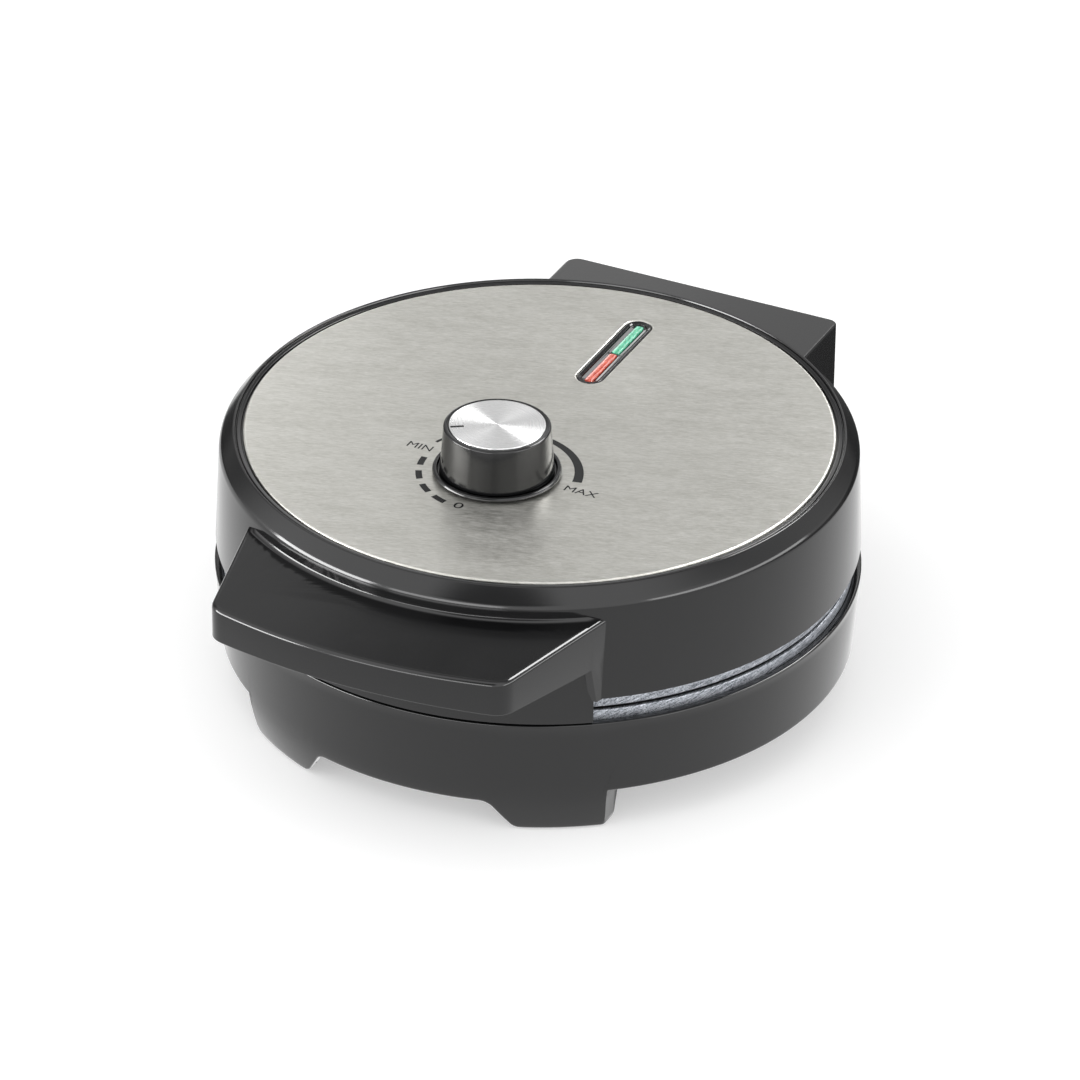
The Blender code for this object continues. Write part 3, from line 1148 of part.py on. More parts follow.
def indicators():
    """The black bezel, the two lenses in it and the lamps in their holder below."""
    top = PLATE_TOP_HEIGHT - BEZEL_SINK
    gap = SEAT_GAP
    bezel = extruded(
        "indicator_bezel", racetrack(SLOT_LENGTH - 2 * gap, SLOT_WIDTH - 2 * gap), top - BEZEL_DEPTH, top,
        LID, BLACK_PLASTIC, smooth=True,
    )
    flange_top = STEEL_UNDER - gap
    join(bezel, extruded(
        "bezel_flange", racetrack(SLOT_LENGTH + 2 * BEZEL_FLANGE, SLOT_WIDTH + 2 * BEZEL_FLANGE),
        flange_top - BEZEL_FLANGE_THICKNESS, flange_top, LID,
    ))
    for colour, (start, end) in lens_spans().items():
        half = LENS_WIDTH / 2
        lens_top = top - LENS_SINK
        cut(bezel, box(
            f"{colour}_window", (-half, half), (start, end), (lens_top - LENS_THICKNESS, top + OVERRUN), LID
        ))
        cut(bezel, box(
            f"{colour}_light_way", (-half / 2, half / 2), (start + half, end - half),
            (top - BEZEL_DEPTH - OVERRUN, top), LID,
        ))
        lens = box(
            f"{colour}_lens", (gap - half, half - gap), (start + gap, end - gap),
            (lens_top - LENS_THICKNESS + gap, lens_top), LID, GREEN_LENS if colour == "green" else RED_LENS,
        )
        soften(lens, LENS_SINK, 1)
    holder_top = top - BEZEL_DEPTH - gap
    x = HOLDER_WIDTH / 2
    y = HOLDER_LENGTH / 2
    wall = HOLDER_WALL
    holder = box(
        "lamp_holder", (-x, x), (SLOT_CENTRE_Y - y, SLOT_CENTRE_Y + y),
        (holder_top - HOLDER_DEPTH, holder_top), LID, CREAM_PLASTIC,
    )
    cut(holder, box(
        "lamp_holder_hollow", (wall - x, x - wall), (SLOT_CENTRE_Y + wall - y, SLOT_CENTRE_Y + y - wall),
        (holder_top - HOLDER_DEPTH + wall, holder_top + OVERRUN), LID,
    ))
    lamp_height = holder_top - HOLDER_DEPTH + wall + gap + LAMP_RADIUS
    for colour, (start, end) in lens_spans().items():
        middle = (start + end) / 2
        ends = (middle - LAMP_LENGTH / 2, middle + LAMP_LENGTH / 2)
        rod(
            f"{colour}_neon_lamp", (0, ends[0], lamp_height), (0, ends[1], lamp_height), LAMP_RADIUS, LID,
            LAMP_GLASS,
        )


def knob():
    """The black knob, its aluminium cap, the shaft that it turns and the collar that it turns in."""
    centre = (0, KNOB_Y)
    bore = SHAFT_RADIUS + SEAT_GAP
    profile = [
        (CAP_RADIUS + SEAT_GAP, CAP_SEAT),
        (CAP_RADIUS + SEAT_GAP, KNOB_TOP - SEAT_GAP),
        (CAP_RADIUS + (KNOB_TOP_RADIUS - CAP_RADIUS) / 2, KNOB_TOP - SEAT_GAP),
        (KNOB_TOP_RADIUS, KNOB_TOP - KNOB_CHAMFER),
        (KNOB_FOOT_RADIUS, KNOB_BOTTOM),
        (KNOB_FOOT_RADIUS - KNOB_WALL, KNOB_BOTTOM),
        (KNOB_FOOT_RADIUS - 2 * KNOB_WALL, KNOB_ROOF),
        (KNOB_HUB_RADIUS, KNOB_ROOF),
        (KNOB_HUB_RADIUS, KNOB_BOTTOM),
        (bore, KNOB_BOTTOM),
        (bore, KNOB_BORE_TOP),
    ]
    turned("knob_body", profile, KNOB, SATIN_BLACK, centre=centre)
    turned("knob_cap", [
        (CAP_RADIUS, CAP_SEAT + SEAT_GAP), (CAP_RADIUS, KNOB_TOP),
    ], KNOB, SPUN_ALUMINIUM, centre=centre)
    shaft_bottom = BUSH_TOP - THERMOSTAT_BUSH_LENGTH
    shaft = rod(
        "thermostat_shaft", (0, KNOB_Y, shaft_bottom + SEAT_GAP), (0, KNOB_Y, KNOB_BORE_TOP - SEAT_GAP),
        SHAFT_RADIUS, KNOB, PLATED_STEEL,
    )
    flat = SHAFT_RADIUS - SHAFT_FLAT_DEPTH
    cut(shaft, box(
        "shaft_flat", (flat, flat + OVERRUN),
        (KNOB_Y - SHAFT_RADIUS - OVERRUN, KNOB_Y + SHAFT_RADIUS + OVERRUN),
        (KNOB_BOTTOM, KNOB_BORE_TOP + OVERRUN), KNOB,
    ))
    rim_middle = (COLLAR_RADIUS + COLLAR_INNER_RADIUS) / 2
    turned("dial_collar", [
        (SHAFT_HOLE_RADIUS, COLLAR_BOTTOM),
        (COLLAR_RADIUS, COLLAR_BOTTOM),
        (COLLAR_RADIUS - SEAT_GAP, COLLAR_BOTTOM + COLLAR_HEIGHT / 2),
        (rim_middle, COLLAR_BOTTOM + COLLAR_HEIGHT),
        (COLLAR_INNER_RADIUS, COLLAR_BOTTOM + COLLAR_FLOOR),
        (SHAFT_HOLE_RADIUS, COLLAR_BOTTOM + COLLAR_FLOOR),
    ], LID, BLACK_PLASTIC, centre=centre, solid=False)


def thermostat():
    """The thermostat's body with its bush, on a sheet bracket that rests on the upper plate."""
    x = THERMOSTAT_X / 2
    y = THERMOSTAT_Y / 2
    body = box(
        "thermostat", (-x, x), (KNOB_Y - y, KNOB_Y + y), (THERMOSTAT_BOTTOM, THERMOSTAT_TOP), LID, CERAMIC
    )
    join(body, rod(
        "thermostat_bush", (0, KNOB_Y, THERMOSTAT_TOP - BURIED), (0, KNOB_Y, BUSH_TOP),
        THERMOSTAT_BUSH_RADIUS, LID,
    ))
    cut(body, rod(
        "thermostat_bore", (0, KNOB_Y, THERMOSTAT_TOP), (0, KNOB_Y, BUSH_TOP + OVERRUN),
        SHAFT_RADIUS + SEAT_GAP, LID,
    ))
    low = UPPER_BACK + SEAT_GAP
    foot = BRACKET_FOOT_Y / 2
    half = BRACKET_X / 2
    sheet = BRACKET_SHEET
    bracket = box(
        "thermostat_bracket", (-half, half), (KNOB_Y - foot, KNOB_Y + foot), (low, low + sheet),
        LID, PLATED_STEEL,
    )
    for side in (-1, 1):
        reach = sorted((side * (x + SEAT_GAP), side * (x + SEAT_GAP + sheet)))
        join(bracket, box(
            f"bracket_arm_{side}", reach, (KNOB_Y - foot, KNOB_Y + foot),
            (low + BURIED, THERMOSTAT_BOTTOM + THERMOSTAT_HEIGHT / 2), LID,
        ))


def tail_place(side, back, back_way):
    """The far end of one of an element's tails."""
    x, y = on_ring(ELEMENT_RING_RADIUS, math.pi / 2 + side * ELEMENT_HALF_OPENING)
    bend = -math.copysign(ELEMENT_BEND, x)
    return Vector((x + bend, y, element_height(back, back_way) + back_way * ELEMENT_TAIL))


def smooth_route(points):
    """Rounds the corners of a few points. The curve starts and ends along the first and last leg."""
    points = [Vector(point) for point in points]
    route = [points[0]]
    for before, corner, after in zip(points, points[1:], points[2:]):
        start = (before + corner) / 2
        end = (corner + after) / 2
        for step in range(BEND_STEPS):
            t = step / BEND_STEPS
            route.append((1 - t) ** 2 * start + 2 * t * (1 - t) * corner + t ** 2 * end)
    return route + [(points[-2] + points[-1]) / 2, points[-1]]


def base_wiring():
    """Terminal block, its two leads to the lower element and the gland where the cord comes in."""
    x = TERMINAL_X / 2
    y = TERMINAL_Y / 2
    low = TERMINAL_FOOT
    top = low + TERMINAL_Z
    box(
        "terminal_block", (-x, x), (TERMINAL_BLOCK_Y - y, TERMINAL_BLOCK_Y + y), (low, top),
        BODY, CREAM_PLASTIC,
    )
    for side, name in ((1, "live"), (-1, "neutral")):
        tail = tail_place(side, LOWER_BACK, -1)
        start = Vector((math.copysign(x / 2, tail.x), TERMINAL_BLOCK_Y - y - SEAT_GAP, (low + top) / 2))
        end = Vector((tail.x, tail.y, tail.z - 2 * SEAT_GAP))
        under = Vector((tail.x, tail.y, low + 2 * WIRE_RADIUS))
        out = start - Vector((0, 2 * WIRE_RADIUS, 0))
        bow = Vector(((start.x + tail.x) / 2, (start.y + tail.y) / 2, low + 2 * WIRE_RADIUS))
        route = smooth_route([start, out, bow, under, end])
        tube(f"base_{name}_lead", route, WIRE_RADIUS, BODY, WIRE_SLEEVE)
    height = (FLOOR_TOP + BASE_BLOCK_TOP - BASE_BLOCK_WALL) / 2
    inner = BASE_BLOCK_BACK - BASE_BLOCK_WALL - GLAND_INNER_LENGTH
    outer = BASE_BLOCK_BACK + SEAT_GAP
    gland = rod(
        "cord_gland", (GLAND_X, inner, height), (GLAND_X, outer + GLAND_FLANGE_THICKNESS, height),
        GLAND_RADIUS, BODY, RUBBER, GLAND_STEPS,
    )
    join(gland, rod(
        "gland_flange", (GLAND_X, outer, height), (GLAND_X, outer + GLAND_FLANGE_THICKNESS, height),
        GLAND_FLANGE_RADIUS, BODY, steps=GLAND_STEPS,
    ))
    cut(gland, rod(
        "gland_cord_bore", (GLAND_X, inner - OVERRUN, height), (GLAND_X, outer + OVERRUN, height),
        GLAND_BORE_RADIUS, BODY,
    ))


def lid_wiring():
    """Thermal fuse on the upper plate's back and the leads between hinge, thermostat and element."""
    back = UPPER_BACK
    fuse_height = back + REFLECTOR_DEPTH + SEAT_GAP + FUSE_RADIUS
    fuse_y = KNOB_Y + BRACKET_FOOT_Y
    rod(
        "thermal_fuse", (FUSE_X, fuse_y, fuse_height), (FUSE_X, fuse_y + FUSE_LENGTH, fuse_height),
        FUSE_RADIUS, LID, WIRE_SLEEVE,
    )
    run = back + REFLECTOR_DEPTH + 2 * WIRE_RADIUS
    left = tail_place(1, back, 1)
    right = tail_place(-1, back, 1)
    edge = THERMOSTAT_Y / 2 + SEAT_GAP
    spread = THERMOSTAT_X / 4
    straight = 2 * WIRE_RADIUS
    above = Vector((0, 0, SEAT_GAP))
    start = Vector((-spread, KNOB_Y + edge, run))
    out = start + Vector((0, straight, 0))
    top = left + above + Vector((0, 0, 2 * straight))
    over = Vector(((out.x + left.x) / 2, (out.y + left.y) / 2, top.z))
    route = smooth_route([start, out, over, top, left + above])
    tube("lid_live_lead", route, WIRE_RADIUS, LID, WIRE_SLEEVE)
    start = Vector((FUSE_X, fuse_y + FUSE_LENGTH + SEAT_GAP, fuse_height))
    out = start + Vector((0, straight, 0))
    top = right + above + Vector((0, 0, 2 * straight))
    over = Vector(((out.x + right.x) / 2, (out.y + right.y) / 2, (run + top.z) / 2))
    route = smooth_route([start, out, over, top, right + above])
    tube("lid_neutral_lead", route, WIRE_RADIUS, LID, WIRE_SLEEVE)


def hinge_pins():
    """The two pins, each through a rib, an ear of the base and a boss on the lid block's side wall."""
    inner = EAR_INNER_X - EAR_SIDE_GAP - RIB_THICKNESS
    outer = BLOCK_HALF_WIDTH - BLOCK_WALL / 2 - SEAT_GAP
    for side, name in ((-1, "left"), (1, "right")):
        head = inner - SEAT_GAP
        start = head - PIN_HEAD_THICKNESS
        pin = rod(
            f"hinge_pin_{name}", (side * (head - BURIED), HINGE_Y, HINGE_Z), (side * outer, HINGE_Y, HINGE_Z),
            PIN_RADIUS, BODY, PLATED_STEEL,
        )
        join(pin, rod(
            f"pin_head_{name}", (side * start, HINGE_Y, HINGE_Z), (side * head, HINGE_Y, HINGE_Z),
            PIN_HEAD_RADIUS, BODY,
        ))


base_housing()
foot_pads()
cooking_plate("lower_cooking_plate", BODY, LOWER_FACE, -1)
cooking_plate("upper_cooking_plate", LID, UPPER_FACE, 1)
heating_element("lower_heating_element", BODY, LOWER_BACK, -1)
heating_element("upper_heating_element", LID, UPPER_BACK, 1)
heat_reflector("lower_heat_reflector", BODY, LOWER_BACK, -1, False)
heat_reflector("upper_heat_reflector", LID, UPPER_BACK, 1, True)
plate_screws()
lid_housing()
lid_handle()
handle_screws()
steel_top_plate()
indicators()
knob()
thermostat()
base_wiring()
lid_wiring()
hinge_pins()
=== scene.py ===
"""Looks of a round heart waffle maker: its housings, handle, plates, dial and lenses, its finishes and a studio.

Shapes are worked out in millimetres round the body's upright axis, with the front at -Y, and placed
in the frame's metres when a piece is made.
"""
import math

import bmesh
import bpy
import numpy as np
from mathutils import Matrix, Vector


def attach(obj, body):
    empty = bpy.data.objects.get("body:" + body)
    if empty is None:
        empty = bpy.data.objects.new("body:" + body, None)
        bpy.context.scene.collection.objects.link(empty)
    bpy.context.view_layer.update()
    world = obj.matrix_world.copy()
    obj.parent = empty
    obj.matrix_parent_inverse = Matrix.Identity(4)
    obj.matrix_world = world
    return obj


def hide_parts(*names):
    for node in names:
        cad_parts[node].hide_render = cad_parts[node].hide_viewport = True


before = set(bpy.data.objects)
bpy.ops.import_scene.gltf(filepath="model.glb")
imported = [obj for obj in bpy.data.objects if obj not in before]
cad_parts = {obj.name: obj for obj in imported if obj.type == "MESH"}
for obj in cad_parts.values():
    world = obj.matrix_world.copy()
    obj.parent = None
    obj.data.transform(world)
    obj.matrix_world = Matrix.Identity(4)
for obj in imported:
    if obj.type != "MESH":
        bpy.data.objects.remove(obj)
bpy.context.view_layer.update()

MM = 0.001
AXIS_Y = 5.25

# Heights and radii that the pieces share, in millimetres
PARTING = 46.1
PLATE_TOP = 88.7
HINGE_Y, HINGE_Z = 114.0, 46.1
BLOCK_BACK = 126.0
BLOCK_TOP = 77.5
BLOCK_HALF = 49.3
LID_FOOT = 50.8
KNOB_Y = -31.0
SLOT_Y = 55.7
FINE_TURN = 288


# Grids and outlines

def placed(points):
    """Millimetres round the body's axis become metres in the frame."""
    return (np.asarray(points, float) + (0.0, AXIS_Y, 0.0)) * MM


def solid(name, rings, ends="caps"):
    """A closed mesh over an array of rings of points. caps closes both ends with a flat face, poles with
    a fan to the ring's middle, and ring joins the last ring to the first."""
    rings = np.asarray(rings, float)
    count, around = rings.shape[:2]
    points = rings.reshape(-1, 3)
    index = np.arange(count * around).reshape(count, around)
    if ends == "ring":
        index = np.vstack([index, index[:1]])
    beside = np.roll(index, -1, axis=1)
    faces = np.stack([index[:-1], beside[:-1], beside[1:], index[1:]], axis=-1).reshape(-1, 4).tolist()
    if ends == "caps":
        faces += [index[0, ::-1].tolist(), index[-1].tolist()]
    if ends == "poles":
        points = np.vstack([points, rings[0].mean(0), rings[-1].mean(0)])
        first = np.full(around, count * around)
        faces += np.stack([beside[0], index[0], first], axis=-1).tolist()
        faces += np.stack([index[-1], beside[-1], first + 1], axis=-1).tolist()
    mesh = bpy.data.meshes.new(name)
    mesh.from_pydata(placed(points).tolist(), [], faces)
    return tidy_mesh(name, mesh)


def tidy_mesh(name, mesh):
    """Welds doubled points, turns every face outwards and links the object."""
    shape = bmesh.new()
    shape.from_mesh(mesh)
    bmesh.ops.remove_doubles(shape, verts=shape.verts, dist=0.004 * MM)
    bmesh.ops.recalc_face_normals(shape, faces=shape.faces)
    shape.to_mesh(mesh)
    shape.free()
    made = bpy.data.objects.new(name, mesh)
    bpy.context.collection.objects.link(made)
    return made


def rounded(corners, arc_steps=5, closed=False):
    """A line through corners given as (a, b, radius): each corner with a radius becomes an arc that
    touches both of its sides."""
    spots = np.array([corner[:2] for corner in corners], float)
    radii = [corner[2] if len(corner) > 2 else 0 for corner in corners]
    line = []
    for place, radius in enumerate(radii):
        here = spots[place]
        if radius == 0 or (not closed and place in (0, len(spots) - 1)):
            line.append(here[None])
            continue
        back = spots[place - 1] - here
        ahead = spots[(place + 1) % len(spots)] - here
        back, ahead = back / np.linalg.norm(back), ahead / np.linalg.norm(ahead)
        half = math.acos(np.clip(back @ ahead, -1, 1)) / 2
        middle = here + (back + ahead) / np.linalg.norm(back + ahead) * radius / math.sin(half)
        reach = radius / math.tan(half)
        start, end = here + back * reach - middle, here + ahead * reach - middle
        sweep = math.pi - 2 * half
        turn = np.linspace(0, 1, arc_steps + 1)[:, None]
        line.append(middle + (np.sin((1 - turn) * sweep) * start + np.sin(turn * sweep) * end) / math.sin(sweep))
    return np.vstack(line)


def evenly(line, spacing, closed=False):
    """Points at equal steps of length along a line."""
    if closed:
        line = np.vstack([line, line[:1]])
    length = np.concatenate([[0], np.cumsum(np.linalg.norm(np.diff(line, axis=0), axis=1))])
    steps = max(2, round(length[-1] / spacing))
    at = np.linspace(0, length[-1], steps + 1)
    points = np.stack([np.interp(at, length, line[:, axis]) for axis in range(line.shape[1])], axis=1)
    return points[:-1] if closed else points


def inset(outline, distance):
    """The closed outline moved inwards along the bisector at each of its points."""
    ahead = np.roll(outline, -1, axis=0) - outline
    ahead /= np.linalg.norm(ahead, axis=1)[:, None]
    back = np.roll(ahead, 1, axis=0)
    side = lambda way: np.stack([-way[:, 1], way[:, 0]], axis=1)
    middle = side(ahead) + side(back)
    middle /= np.linalg.norm(middle, axis=1)[:, None]
    share = np.clip(np.sum(middle * side(ahead), axis=1), 0.45, 1)
    area = np.sum(outline[:, 0] * np.roll(outline[:, 1], -1) - np.roll(outline[:, 0], -1) * outline[:, 1])
    return outline + middle * (distance / share)[:, None] * np.sign(area)


def turned_rings(profile, around=FINE_TURN, centre=(0, 0)):
    """Each (radius, height) of the profile becomes a circle round an upright line."""
    turn = np.arange(around) * 2 * math.pi / around
    profile = np.asarray(profile, float)
    radius, height = profile[:, :1], profile[:, 1:2]
    return np.stack([
        centre[0] + radius * np.cos(turn), centre[1] + radius * np.sin(turn), height + 0 * turn
    ], axis=-1)


def level(height):
    """A height that is the same at every point."""
    return lambda points: np.full(len(points), float(height))


def block_rings(outline, low, high, low_round=0.0, high_round=0.0, steps=7):
    """An outline raised from low to high, its lower and upper edges rolled over by a quarter circle. The
    outline is an array of points, or a function that gives it drawn in by a distance."""
    shape = outline if callable(outline) else lambda distance: inset(outline, distance)
    turns = np.linspace(0, math.pi / 2, steps + 1)
    rings = []
    for height, size, way in ((low, low_round, 1), (high, high_round, -1)):
        reach = [(size * (1 - math.cos(turn)), size * (1 - math.sin(turn))) for turn in turns] if size else [(0, 0)]
        reach.append((size + 0.12, 0))
        part = []
        for inwards, off in reach:
            moved = shape(inwards)
            part.append(np.column_stack([moved, height(moved) + way * off]))
        rings += part[::-1] if way > 0 else part
    return np.array(rings)


def raised(name, outline, low, high, low_round=0.0, high_round=0.0):
    """A solid with an upright outline between two heights."""
    low, high = (edge if callable(edge) else level(edge) for edge in (low, high))
    return solid(name, block_rings(outline, low, high, low_round, high_round))


def turned(name, profile, around=FINE_TURN, centre=(0, 0), ends="caps"):
    """A solid turned round an upright line from its profile."""
    return solid(name, turned_rings(profile, around, centre), ends)


def oblong(x, y, corner, spacing=1.0):
    """A rectangle with rounded corners, from its x range and its y range."""
    corners = [(x[0], y[0], corner), (x[1], y[0], corner), (x[1], y[1], corner), (x[0], y[1], corner)]
    return rounded(corners, closed=True) if corner else np.array([spot[:2] for spot in corners], float)


def lying(name, outline, x, edge=0.0):
    """A solid whose outline lies in (y, z) and that runs along x, its ends rolled over by edge."""
    rings = block_rings(np.asarray(outline, float), level(x[0]), level(x[1]), edge, edge)
    return solid(name, rings[..., [2, 0, 1]])


def bar(name, start, end, radius, around=48):
    """A round bar between two points: a circle across the line that joins them, at each end."""
    start, end = np.array(start, float), np.array(end, float)
    way = (end - start) / np.linalg.norm(end - start)
    side = np.cross(way, (0, 0, 1) if abs(way[2]) < 0.9 else (1, 0, 0))
    side /= np.linalg.norm(side)
    turn = np.arange(around)[:, None] * 2 * math.pi / around
    ring = radius * (np.cos(turn) * side + np.sin(turn) * np.cross(way, side))
    return solid(name, np.array([start + ring, end + ring]))


def carve(target, tools, way="DIFFERENCE"):
    """Joins the tools to a solid or cuts them from it, keeps the result as its mesh and drops the tools."""
    for tool in tools:
        step = target.modifiers.new(tool.name, "BOOLEAN")
        step.solver = "EXACT"
        step.operation = way
        step.object = tool
    graph = bpy.context.evaluated_depsgraph_get()
    made = bpy.data.meshes.new_from_object(target.evaluated_get(graph))
    target.modifiers.clear()
    target.data = made
    for tool in tools:
        bpy.data.objects.remove(tool)
    return target


def joined(target, *tools):
    return carve(target, tools, "UNION")


def dress(made, finishes, body, nodes=(), crease=32):
    """Shades a piece smooth up to a crease, gives it its finishes and hangs it on its body."""
    made.data.materials.clear()
    for finish in finishes if isinstance(finishes, (list, tuple)) else [finishes]:
        made.data.materials.append(finish)
    made.data.shade_smooth()
    made.data.set_sharp_from_angle(angle=math.radians(crease))
    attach(made, body)
    if nodes:
        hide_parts(*nodes)
    return made


# Finishes

def linear(code, alpha=1.0):
    """An sRGB hex colour as linear light."""
    parts = [int(code[place:place + 2], 16) / 255 for place in (1, 3, 5)]
    return tuple(part / 12.92 if part <= 0.04045 else ((part + 0.055) / 1.055) ** 2.4 for part in parts) + (alpha,)


def add(tree, kind, settings=None, **links):
    """Adds a node with its settings. A link's value is a socket to join or a value to set; the names of
    inputs are written with _ for a space, and a number after n_ is the input's place."""
    made = tree.nodes.new("ShaderNode" + kind)
    for key, value in (settings or {}).items():
        setattr(made, key, value)
    for key, value in links.items():
        socket = made.inputs[int(key[2:])] if key.startswith("n_") else made.inputs[key.replace("_", " ")]
        if isinstance(value, bpy.types.NodeSocket):
            tree.links.new(value, socket)
        else:
            socket.default_value = value
    return made


def finish(name, **values):
    """A material with its Principled shader set. Returns the material, its tree and the shader."""
    made = bpy.data.materials.new(name)
    made.use_nodes = True
    tree = made.node_tree
    shader = tree.nodes["Principled BSDF"]
    for key, value in values.items():
        shader.inputs[key.replace("_", " ")].default_value = value
    return made, tree, shader


def object_space(tree, scale=(1, 1, 1), shift=(0, 0, 0), turn=(0, 0, 0)):
    """Object coordinates, moved and turned and then scaled, so that a stretched pattern leans with the
    turn. The scales are counts of pattern cells a metre."""
    place = add(tree, "TexCoord").outputs["Object"]
    place = add(tree, "Mapping", Vector=place, Location=shift, Rotation=turn).outputs["Vector"]
    return add(tree, "Mapping", Vector=place, Scale=scale).outputs["Vector"]


def speckle(tree, vector, scale, detail=2.0, rough=0.5):
    """Noise over a vector."""
    return add(tree, "TexNoise", Vector=vector, Scale=scale, Detail=detail, Roughness=rough).outputs["Fac"]


def stretch(tree, value, low, high, low_in=0.0, high_in=1.0):
    """A value carried from one range to another."""
    return add(tree, "MapRange", n_0=value, n_1=low_in, n_2=high_in, n_3=low, n_4=high).outputs["Result"]


def ramp(tree, value, low, high):
    """A colour between two hex colours."""
    mixed = add(tree, "Mix", {"data_type": "RGBA"}, n_0=value)
    mixed.inputs[6].default_value = linear(low)
    mixed.inputs[7].default_value = linear(high)
    return mixed.outputs[2]


def relief(tree, shader, height, strength, depth):
    """Bump of a real depth in millimetres."""
    made = add(tree, "Bump", Height=height, Strength=strength, Distance=depth * MM)
    tree.links.new(made.outputs["Normal"], shader.inputs["Normal"])


def moulded_plastic(name, dark, light, gloss, grain=0.15):
    """Injection-moulded plastic: an even body colour, a sheen that wanders a little where the mould was
    polished, and an orange-peel relief 2 mm wide and a few microns deep."""
    made, tree, shader = finish(name, Metallic=0.0, IOR=1.49, Roughness=gloss)
    space = object_space(tree)
    tree.links.new(ramp(tree, speckle(tree, space, 90.0), dark, light), shader.inputs["Base Color"])
    wander = stretch(tree, speckle(tree, space, 45.0, 3.0), gloss * 0.9, gloss * 1.12, 0.3, 0.7)
    tree.links.new(wander, shader.inputs["Roughness"])
    relief(tree, shader, speckle(tree, space, 500.0, 1.0), grain, 0.02)
    return made


BLACK = moulded_plastic("gloss_black_abs", "#0b0b0c", "#0f0f10", 0.12)
KNOB_BLACK = moulded_plastic("satin_black_abs", "#0d0d0e", "#121213", 0.15)


def brushed_stainless():
    """Stainless steel sheet brushed at 18 degrees to the hinge line, as the photograph's grain lies:
    scratches 0.4 mm apart, drawn coarser than the real 0.05 mm so that they show, each 2 to 4 mm long,
    over a soft mottle. The grain throws the light across itself, so reflections smear across it."""
    made, tree, shader = finish(
        "brushed_stainless_sheet", Metallic=1.0, Roughness=0.38, Anisotropic=0.7, Anisotropic_Rotation=0.25
    )
    lean = math.radians(18)
    fine = speckle(tree, object_space(tree, (380, 2300, 400), turn=(0, 0, -lean)), 1.0, 4.0, 0.7)
    broad = speckle(tree, object_space(tree, (45, 200, 60), turn=(0, 0, -lean)), 1.0, 3.0, 0.6)
    both = add(tree, "Mix", {"data_type": "FLOAT"}, n_0=0.22, n_2=fine, n_3=broad).outputs[0]
    tree.links.new(ramp(tree, stretch(tree, both, 0, 1, 0.34, 0.66), "#b0afa8", "#d0cfca"), shader.inputs["Base Color"])
    tree.links.new(stretch(tree, both, 0.33, 0.44, 0.34, 0.66), shader.inputs["Roughness"])
    along = add(tree, "CombineXYZ", X=math.cos(lean), Y=math.sin(lean))
    tree.links.new(along.outputs[0], shader.inputs["Tangent"])
    relief(tree, shader, fine, 0.35, 0.014)
    return made


STEEL = brushed_stainless()


def spun_aluminium():
    """An aluminium disc turned on a lathe: rings 0.3 mm apart round the knob's axis, which throw the
    light into bright wedges."""
    made, tree, shader = finish("spun_aluminium_disc", Metallic=1.0, Roughness=0.27, Anisotropic=0.94, Anisotropic_Rotation=0.25)
    shader.inputs["Base Color"].default_value = linear("#e6e6e6")
    space = object_space(tree, shift=(0, -(KNOB_Y + AXIS_Y) * MM, 0))
    split = add(tree, "SeparateXYZ", n_0=space)
    flat = add(tree, "CombineXYZ", X=split.outputs[0], Y=split.outputs[1])
    radius = add(tree, "VectorMath", {"operation": "LENGTH"}, n_0=flat.outputs[0]).outputs["Value"]
    rings = add(tree, "TexNoise", {"noise_dimensions": "1D"}, W=radius, Scale=3300.0, Detail=2.0).outputs["Fac"]
    tree.links.new(stretch(tree, rings, 0.22, 0.32, 0.3, 0.7), shader.inputs["Roughness"])
    relief(tree, shader, rings, 0.12, 0.01)
    tangent = add(tree, "Tangent", {"direction_type": "RADIAL", "axis": "Z"})
    tree.links.new(tangent.outputs["Tangent"], shader.inputs["Tangent"])
    return made


SPUN = spun_aluminium()


def blasted_casting():
    """Die-cast aluminium, ground and blasted: a bluish grey sparkle 0.4 mm across, crossed by slanted
    grinding scratches 0.4 mm apart and some 4 mm long."""
    made, tree, shader = finish("blasted_cast_aluminium", Metallic=0.85, Roughness=0.5)
    coarse = speckle(tree, object_space(tree), 2300.0, 3.0, 0.75)
    lean = object_space(tree, (260, 260, 2400), turn=(0, math.radians(32), math.radians(-55)))
    scratches = speckle(tree, lean, 1.0, 3.0, 0.7)
    both = add(tree, "Mix", {"data_type": "FLOAT"}, n_0=0.45, n_2=coarse, n_3=scratches).outputs[0]
    tree.links.new(ramp(tree, stretch(tree, both, 0, 1, 0.4, 0.62), "#3b3f46", "#cdd1d8"), shader.inputs["Base Color"])
    relief(tree, shader, both, 0.7, 0.15)
    return made


CASTING = blasted_casting()


def non_stick():
    """A dark grey non-stick coating baked on the blasted casting: a soft sheen over a fine tooth."""
    made, tree, shader = finish("non_stick_coating", Metallic=0.0, Roughness=0.42)
    space = object_space(tree)
    tree.links.new(ramp(tree, speckle(tree, space, 160.0), "#1b1b1c", "#262627"), shader.inputs["Base Color"])
    relief(tree, shader, speckle(tree, space, 1800.0, 2.0), 0.35, 0.03)
    return made


COATING = non_stick()


def plain_metal(name, dark, light, gloss, cell, metallic=1.0, depth=0.02):
    """Metal with a mottle of one cell size in millimetres, as plating, rolling or drawing leaves."""
    made, tree, shader = finish(name, Metallic=metallic, Roughness=gloss)
    mottle = speckle(tree, object_space(tree), 1000.0 / cell, 3.0)
    tree.links.new(ramp(tree, stretch(tree, mottle, 0, 1, 0.3, 0.7), dark, light), shader.inputs["Base Color"])
    tree.links.new(stretch(tree, mottle, gloss * 0.85, gloss * 1.15), shader.inputs["Roughness"])
    relief(tree, shader, mottle, 0.2, depth)
    return made


